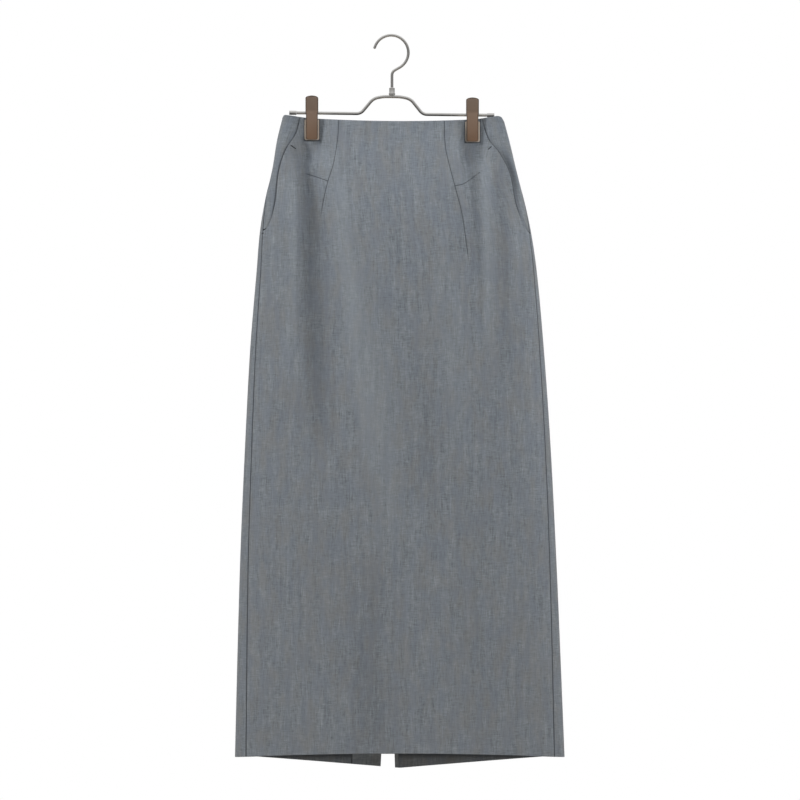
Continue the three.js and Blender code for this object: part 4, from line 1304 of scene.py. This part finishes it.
def steel_finish():
    steel = Finish("satin_steel", Metallic=1.0, Roughness=0.26)
    place = steel.node("ShaderNodeTexCoord", {}, {}, out=3)
    brushed = steel.noise(place, 55.0, 2.0, 3.1)
    worn = steel.noise(place, 38.0, 3.0, 9.4)
    steel.surface("Base Color", steel.mix(worn, (0.56, 0.55, 0.53), (0.66, 0.65, 0.63)))
    steel.surface("Roughness", 0.27 + brushed * 0.10)
    return steel.material


STEEL = steel_finish()


def bent_line(corners, bend):
    """A line through corners in the plane X and Z, rounded by quadratic bends."""
    corners = [np.asarray(c, float) for c in corners]
    points, start = [corners[0]], corners[0]
    for corner, after in zip(corners[1:-1], corners[2:]):
        a = corner + (start - corner) / np.linalg.norm(start - corner) * bend
        b = corner + (after - corner) / np.linalg.norm(after - corner) * bend
        for t in np.linspace(0, 1, 12):
            points.append((1 - t) ** 2 * a + 2 * (1 - t) * t * corner + t * t * b)
        start = b
    points.append(corners[-1])
    return points


def evenly(points, spacing):
    points = np.asarray(points, float)
    run = np.concatenate([[0], np.cumsum(np.linalg.norm(np.diff(points, axis=0), axis=1))])
    keep = np.concatenate([[True], np.diff(run) > 1e-6])
    at = np.linspace(0, run[-1], max(2, int(run[-1] / spacing)))
    return np.stack([np.interp(at, run[keep], points[keep, k]) for k in range(points.shape[1])], 1)


def in_plane(points):
    return np.stack([points[:, 0], np.zeros(len(points)), points[:, 1]], 1)


def round_wire(name, path, radius, tips=(True, True)):
    """A wire along a flat path whose tips are rounded where they show."""
    path = in_plane(evenly(path, 1.1))
    radii = np.full(len(path), float(radius))
    for tip, at_end in zip(tips, (False, True)):
        if not tip:
            continue
        end = path[-1] if at_end else path[0]
        way = end - (path[-2] if at_end else path[1])
        way = way / np.linalg.norm(way)
        angles = np.radians([0, 18, 36, 54, 70, 82])
        dome = [end + way * radius * (math.sin(a) - 1) for a in angles]
        round_off = [radius * math.cos(a) for a in angles]
        near = np.linalg.norm(path - end, axis=1) > radius * 1.05
        path, radii = path[near], radii[near]
        if at_end:
            path = np.concatenate([path, dome])
            radii = np.concatenate([radii, round_off])
        else:
            path = np.concatenate([dome[::-1], path])
            radii = np.concatenate([round_off[::-1], radii])
    return tube(name, path, [(r, r) for r in radii], STEEL)


def hanger_hook():
    radius = HOOK["inner"] + HOOK["wire"] / 2
    path = arc((0, -HOOK["inner"]), radius, HOOK["tip_turn"], HOOK["leave_turn"], 90)
    leave = path[-1]
    slope = math.tan(math.radians(90 + HOOK["leave_turn"]))
    top = (HOOK["shank_x"], leave[1] - (leave[0] - HOOK["shank_x"]) * slope)
    path += bent_line([leave, top, (HOOK["shank_x"], -HOOK["shank_end"])], HOOK["bend"])[1:]
    wire = round_wire("hanger_hook_wire", path, HOOK["wire"] / 2, (True, False))
    fix(wire, "hanger_hook")


def lathe(name, profile, place, axis, material, sides=40):
    """Turns a profile of (radius, along) about an axis through a place."""
    axis = np.asarray(axis, float)
    side = np.array([0.0, 1.0, 0.0])
    other = np.cross(axis, side)
    ring = np.linspace(0, math.tau, sides, endpoint=False)
    points = [
        np.asarray(place) + axis * along + (side * math.cos(a) + other * math.sin(a)) * radius
        for radius, along in profile
        for a in ring
    ]
    faces = []
    for j in range(len(profile) - 1):
        for i in range(sides):
            a, b = j * sides + i, j * sides + (i + 1) % sides
            faces.append((a, a + sides, b + sides, b))
    faces.append(tuple(range(sides)))
    faces.append(tuple(range((len(profile) - 1) * sides, len(profile) * sides))[::-1])
    return add_mesh(name, [tuple(p * MM) for p in points], faces, material)


def soft_edge(radius, along, edge, way):
    """A quarter round between a face and a turned side; way is 1 where the side lies ahead."""
    quarter = np.radians(np.linspace(0, 90, 6))
    made = [
        (radius - edge + edge * math.sin(a), along + way * edge * (1 - math.cos(a))) for a in quarter
    ]
    return made if way > 0 else made[::-1]


def ferrule():
    bottom = -(BAR["crest_drop"] - BAR["rod"] / 2 - LAYER_GAP)
    collar_top = bottom + FERRULE["collar_height"]
    profile = [(0.4, bottom), *soft_edge(FERRULE["collar"], bottom, 0.5, 1)]
    profile += [*soft_edge(FERRULE["collar"], collar_top, 0.3, -1), (FERRULE["radius"], collar_top + 0.4)]
    profile += [*soft_edge(FERRULE["radius"], -FERRULE["top"], 0.7, -1), (0.4, -FERRULE["top"])]
    made = lathe("hanger_ferrule_turned", profile, (HOOK["shank_x"], 0, 0), (0, 0, 1), STEEL)
    fix(made, "hanger_ferrule")


def on_bar(points):
    """From the bar's own level place, about its crest, to where it hangs."""
    points = np.asarray(points, float)
    tilt = math.radians(BAR["tilt"])
    cos, sin = math.cos(tilt), math.sin(tilt)
    x, z = points[..., 0] * cos - points[..., 2] * sin, points[..., 0] * sin + points[..., 2] * cos
    return np.stack([x + HOOK["shank_x"], points[..., 1], z - BAR["crest_drop"]], -1)


def hanger_bar():
    arm = BAR["crest_drop"] - BAR["arm_drop"]
    half = [
        (CREST["half_level"], 0),
        (CREST["shoulder"], -CREST["shoulder_down"]),
        (CREST["foot"], arm),
        (BAR["half"], arm),
    ]
    corners = [(-x, z) for x, z in half[::-1]] + half
    rod = round_wire("hanger_bar_rod", bent_line(corners, BAR["bend"]), BAR["rod"] / 2, (False, False))
    move_points(rod, lambda points: on_bar(points / MM))
    fix(rod, "hanger_bar")
    for hand, sign in HANDS.items():
        start = BAR["half"] + SEAM_GAP
        profile = [(0.3, start), *soft_edge(CAP["radius"], start, CAP["edge"], 1)]
        profile += [*soft_edge(CAP["radius"], start + CAP["length"], CAP["edge"], -1)]
        profile += [(0.3, start + CAP["length"])]
        cap = lathe(f"bar_cap_{hand}_turned", profile, (0, 0, arm), (sign, 0, 0), STEEL)
        move_points(cap, lambda points: on_bar(points / MM))
        fix(cap, f"bar_cap_{hand}")


hanger_hook()
ferrule()
hanger_bar()

# The clips. Two bent jaws of satin brown plastic with a beige rubber pad inside each, nipped
# together by a flat steel spring that straddles the bar.
JAW = {
    "upper": 18.4, "lower": 17, "thick": 2.4, "rise": 25, "fall": 38.2, "flare": 8, "bend_at": 4,
    "crown": 3.6, "corner": 2.2, "swell": 0.5,
}  # fmt: skip
PAD = {"width": 21, "thick": 1.2, "top": -9.6, "bottom": -39.4}
SPRING = {"width": 9, "thick": 0.8, "inner": 3.6, "leg_end": -7.2}
PAD_FACE = PINNED + SEAM_GAP
JAW_FACE = PAD_FACE + PAD["thick"] + SEAM_GAP


def jaw_finish():
    plastic = Finish("clip_plastic", Roughness=0.42)
    plastic.shader.inputs["Coat Weight"].default_value = 0.15
    place = plastic.node("ShaderNodeTexCoord", {}, {}, out=3)
    level = Socket(plastic, plastic.node("ShaderNodeSeparateXYZ", {}, {0: place}).output.node.outputs[2])
    low = plastic.node("ShaderNodeMapRange", {}, {0: level, 1: -0.148, 2: -0.09, 3: 0.0, 4: 1.0})
    edge = plastic.node("ShaderNodeAttribute", {"attribute_name": "crevice"}, out=2)
    mottle = plastic.noise(place, 120.0, 3.0, 5.0)
    colour = plastic.mix(low, (0.168, 0.100, 0.062), (0.250, 0.186, 0.148))
    colour = plastic.mix(mottle * 0.25, colour, (0.25, 0.18, 0.13))
    # The jaw's sides and crown are painted darker, a painted shade.
    plastic.surface("Base Color", plastic.mix(edge * 0.85, colour, (0.050, 0.036, 0.028)))
    plastic.surface("Roughness", 0.36 + mottle * 0.16)
    return plastic.material


def pad_finish():
    rubber = Finish("clip_rubber", Roughness=0.72)
    place = rubber.node("ShaderNodeTexCoord", {}, {}, out=3)
    grain = rubber.noise(place, 1400.0, 2.0, 2.5)
    rubber.surface("Base Color", rubber.mix(grain, (0.50, 0.43, 0.36), (0.62, 0.54, 0.46)))
    rubber.surface("Normal", rubber.bump(grain, 0.0002, 0.4))
    return rubber.material


PLASTIC = jaw_finish()
RUBBER = pad_finish()


def jaw_levels():
    """Pairs of height and half width down the jaw, with its round crown and its round lower corners."""
    crown_at = JAW["rise"] - JAW["crown"]
    wide, narrow, corner = JAW["upper"] / 2, JAW["lower"] / 2, JAW["corner"]
    levels = [
        (crown_at + JAW["crown"] * math.sin(a), wide * math.cos(a))
        for a in np.radians([86, 82, 76, 68, 58, 46, 34, 22, 10])
    ]
    levels += [(z, wide) for z in np.linspace(crown_at, 1.6, 12)]
    levels += [(z, mix(wide, narrow, ease(-z, -1.6, 0.4))) for z in (1.1, 0.6, 0.1, -0.4)]
    foot = -JAW["fall"] + corner
    levels += [(z, narrow) for z in np.linspace(-1.6, foot, 16)]
    levels += [
        (foot - corner * math.sin(a), narrow - corner + corner * math.cos(a))
        for a in np.radians([15, 32, 48, 62, 75, 86])
    ]
    return levels


def clip_jaw(name, node, place):
    levels = jaw_levels()
    across = np.sin(np.radians(np.linspace(-90, 90, 19)))
    z = np.array([level for level, _ in levels])[:, None]
    x = np.array([half for _, half in levels])[:, None] * across
    z = z + np.zeros(x.shape)
    bend = JAW["rise"] - JAW["bend_at"]
    up = np.maximum(z - JAW["bend_at"], 0)
    flare = JAW["flare"] * np.sqrt(up**2 + 2.0) / bend * (up > 0)
    face = -JAW_FACE - flare
    swell = JAW["swell"] * (1 - across**2)
    outer = np.stack([x, face - JAW["thick"] - swell + JAW["swell"] / 2, z], -1)
    inner = np.stack([x, face, z], -1)
    # Painted shade along the jaw's sides and round its crown.
    near_side = np.clip((np.abs(across) - 0.84) / 0.1, 0, 1)
    near_top = np.clip((z - JAW["rise"] + 2.0) / 1.4, 0, 1)
    edge = np.maximum(near_side[None, :] + np.zeros(x.shape), near_top)
    grain = np.stack([x, z], -1)
    jaw = shell(name, place(outer), place(inner), grain, edge, 0.5, PLASTIC)
    fix(jaw, node)


def clip_pad(name, node, place):
    half = PAD["width"] / 2
    outline = rounded((-half, PAD["bottom"]), (half, PAD["top"]), 2.8, 1.0)
    pad = flat_plate(name, outline, None, PAD["thick"], 0.45, RUBBER)
    into = np.array([0, -(PAD_FACE + PAD["thick"] / 2), 0])
    move_points(pad, lambda points: place(points + into))
    fix(pad, node)


def clip_spring(name, node, place):
    middle_radius = SPRING["inner"] + SPRING["thick"] / 2
    line = [(-middle_radius, z) for z in np.linspace(SPRING["leg_end"], -0.6, 8)]
    line += arc((0, 0), middle_radius, 180, 0, 25)
    line += [(middle_radius, z) for z in np.linspace(-0.6, SPRING["leg_end"], 8)]
    path = np.array([(0, y, z) for y, z in line])
    radii = [(SPRING["thick"] / 2, SPRING["width"] / 2)] * len(path)
    strap = tube(name, path, radii, STEEL, 32, (1, 0, 0))
    squarer = 0.35

    def flattened(points):
        side = points[:, 0] / (SPRING["width"] / 2 * MM)
        full = np.sign(side) * np.abs(side) ** squarer * SPRING["width"] / 2
        return place(np.stack([full, points[:, 1] / MM, points[:, 2] / MM], -1))

    move_points(strap, flattened)
    fix(strap, node)


for hand in HANDS:
    sag = math.tan(math.radians(BAR["tilt"])) * (CLIP_X[hand] - HOOK["shank_x"])
    at = np.array([CLIP_X[hand], 0, -BAR["arm_drop"] + sag])
    for face, facing in (("front", 1), ("back", -1)):
        turn_round = np.array([facing, facing, 1])

        def here(points, at=at, turn_round=turn_round):
            return points * turn_round + at

        clip_jaw(f"clip_{hand}_{face}_jaw_moulded", f"clip_{hand}_{face}_jaw", here)
        clip_pad(f"clip_{hand}_{face}_pad_moulded", f"clip_{hand}_{face}_pad", here)
    clip_spring(f"clip_{hand}_spring_strap", f"clip_{hand}_spring", lambda points, at=at: points + at)

# The stage: a pale round floor under a white surround, a soft light from the front's upper right and a
# raking one from the upper left, weaker ones round about, and a far camera that sees the skirt level.
FRAME_WIDTH = 1.1585
CAMERA_AT = (0.0128, -16.0, -0.52615)
FLOOR_LEVEL, FLOOR_RADIUS = -1.7, 3.2
SKY_SEEN, SKY_LIGHT = 1.0, 0.085
SKY_MIRRORED = {"level": 0.24, "overhead": 0.95}


def floor():
    ring = np.linspace(0, math.tau, 96, endpoint=False)
    points = [(FLOOR_RADIUS * math.cos(a), FLOOR_RADIUS * math.sin(a), FLOOR_LEVEL) for a in ring]
    paint = Finish("pale_floor", Roughness=0.9, Base_Color=(0.88, 0.80, 0.70, 1))
    add_mesh("floor", points, [tuple(range(len(points)))], paint.material)


def light(name, place, target, width, height, power, spread):
    lamp = bpy.data.lights.new(name, "AREA")
    lamp.shape = "RECTANGLE"
    lamp.size, lamp.size_y, lamp.energy = width, height, power
    lamp.spread = math.radians(spread)
    made = bpy.data.objects.new(name, lamp)
    bpy.context.scene.collection.objects.link(made)
    made.visible_glossy = False
    made.location = place
    aim = np.array(target, float) - np.array(place, float)
    yaw = math.atan2(-aim[0], aim[1])
    pitch = math.atan2(aim[2], math.hypot(aim[0], aim[1]))
    made.rotation_euler = (math.pi / 2 + pitch, 0, yaw)


def camera():
    lens = bpy.data.cameras.new("camera")
    lens.sensor_width = 36
    lens.lens = 36 * -CAMERA_AT[1] / FRAME_WIDTH
    lens.clip_end = 100
    eye = bpy.data.objects.new("camera", lens)
    bpy.context.scene.collection.objects.link(eye)
    eye.location = CAMERA_AT
    eye.rotation_euler = (math.pi / 2, 0, 0)
    bpy.context.scene.camera = eye


def surround():
    """White where the camera sees it, and weaker as light on the skirt."""
    world = bpy.data.worlds.new("world")
    world.use_nodes = True
    tree = world.node_tree
    background = tree.nodes["Background"]
    background.inputs["Color"].default_value = (1, 1, 1, 1)
    path = tree.nodes.new("ShaderNodeLightPath")
    way = tree.nodes.new("ShaderNodeTexCoord")
    split = tree.nodes.new("ShaderNodeSeparateXYZ")
    tree.links.new(way.outputs["Generated"], split.inputs[0])
    mirrored = tree.nodes.new("ShaderNodeMapRange")
    tree.links.new(split.outputs["Z"], mirrored.inputs["Value"])
    mirrored.inputs["From Max"].default_value = 0.8
    mirrored.inputs["To Min"].default_value = SKY_MIRRORED["level"]
    mirrored.inputs["To Max"].default_value = SKY_MIRRORED["overhead"]
    in_steel, in_picture = (tree.nodes.new("ShaderNodeMix") for _ in range(2))
    tree.links.new(path.outputs["Is Glossy Ray"], in_steel.inputs[0])
    in_steel.inputs[2].default_value = SKY_LIGHT
    tree.links.new(mirrored.outputs[0], in_steel.inputs[3])
    tree.links.new(path.outputs["Is Camera Ray"], in_picture.inputs[0])
    tree.links.new(in_steel.outputs[0], in_picture.inputs[2])
    in_picture.inputs[3].default_value = SKY_SEEN
    tree.links.new(in_picture.outputs[0], background.inputs["Strength"])
    bpy.context.scene.world = world
    bpy.context.scene.view_settings.view_transform = "Standard"


floor()
for light_row in table(
    "name turn reach height aim size power spread",
    ("key", 31, 2.8, 1.15, -0.35, (1.2, 1.2), 12.9, 105),
    ("left_rake", -72, 3.4, 1.8, -0.3, (0.9, 1.2), 32, 100),
    ("right_rake", 62, 3.2, 0.6, -0.3, (1.0, 1.8), 9, 120),
    ("right_edge", 84, 3.0, 0.5, -0.25, (0.6, 0.9), 2.8, 60),
    ("left_edge", -66, 3.4, 0.8, -0.3, (0.8, 1.4), 2.4, 100),
    ("low_front", 8, 2.6, -1.25, -1.04, (1.2, 0.3), 1.8, 120),
    ("back_fill", 165, 3.4, 0.8, -0.5, (2.0, 2.0), 30, 180),
):
    name, turn, reach, height, aim, size, power, spread = light_row.values()
    round_at = np.radians(turn)
    place = (reach * np.sin(round_at), -reach * np.cos(round_at), height)
    light(name, place, (0, 0, aim), *size, power, spread)
camera()
surround()
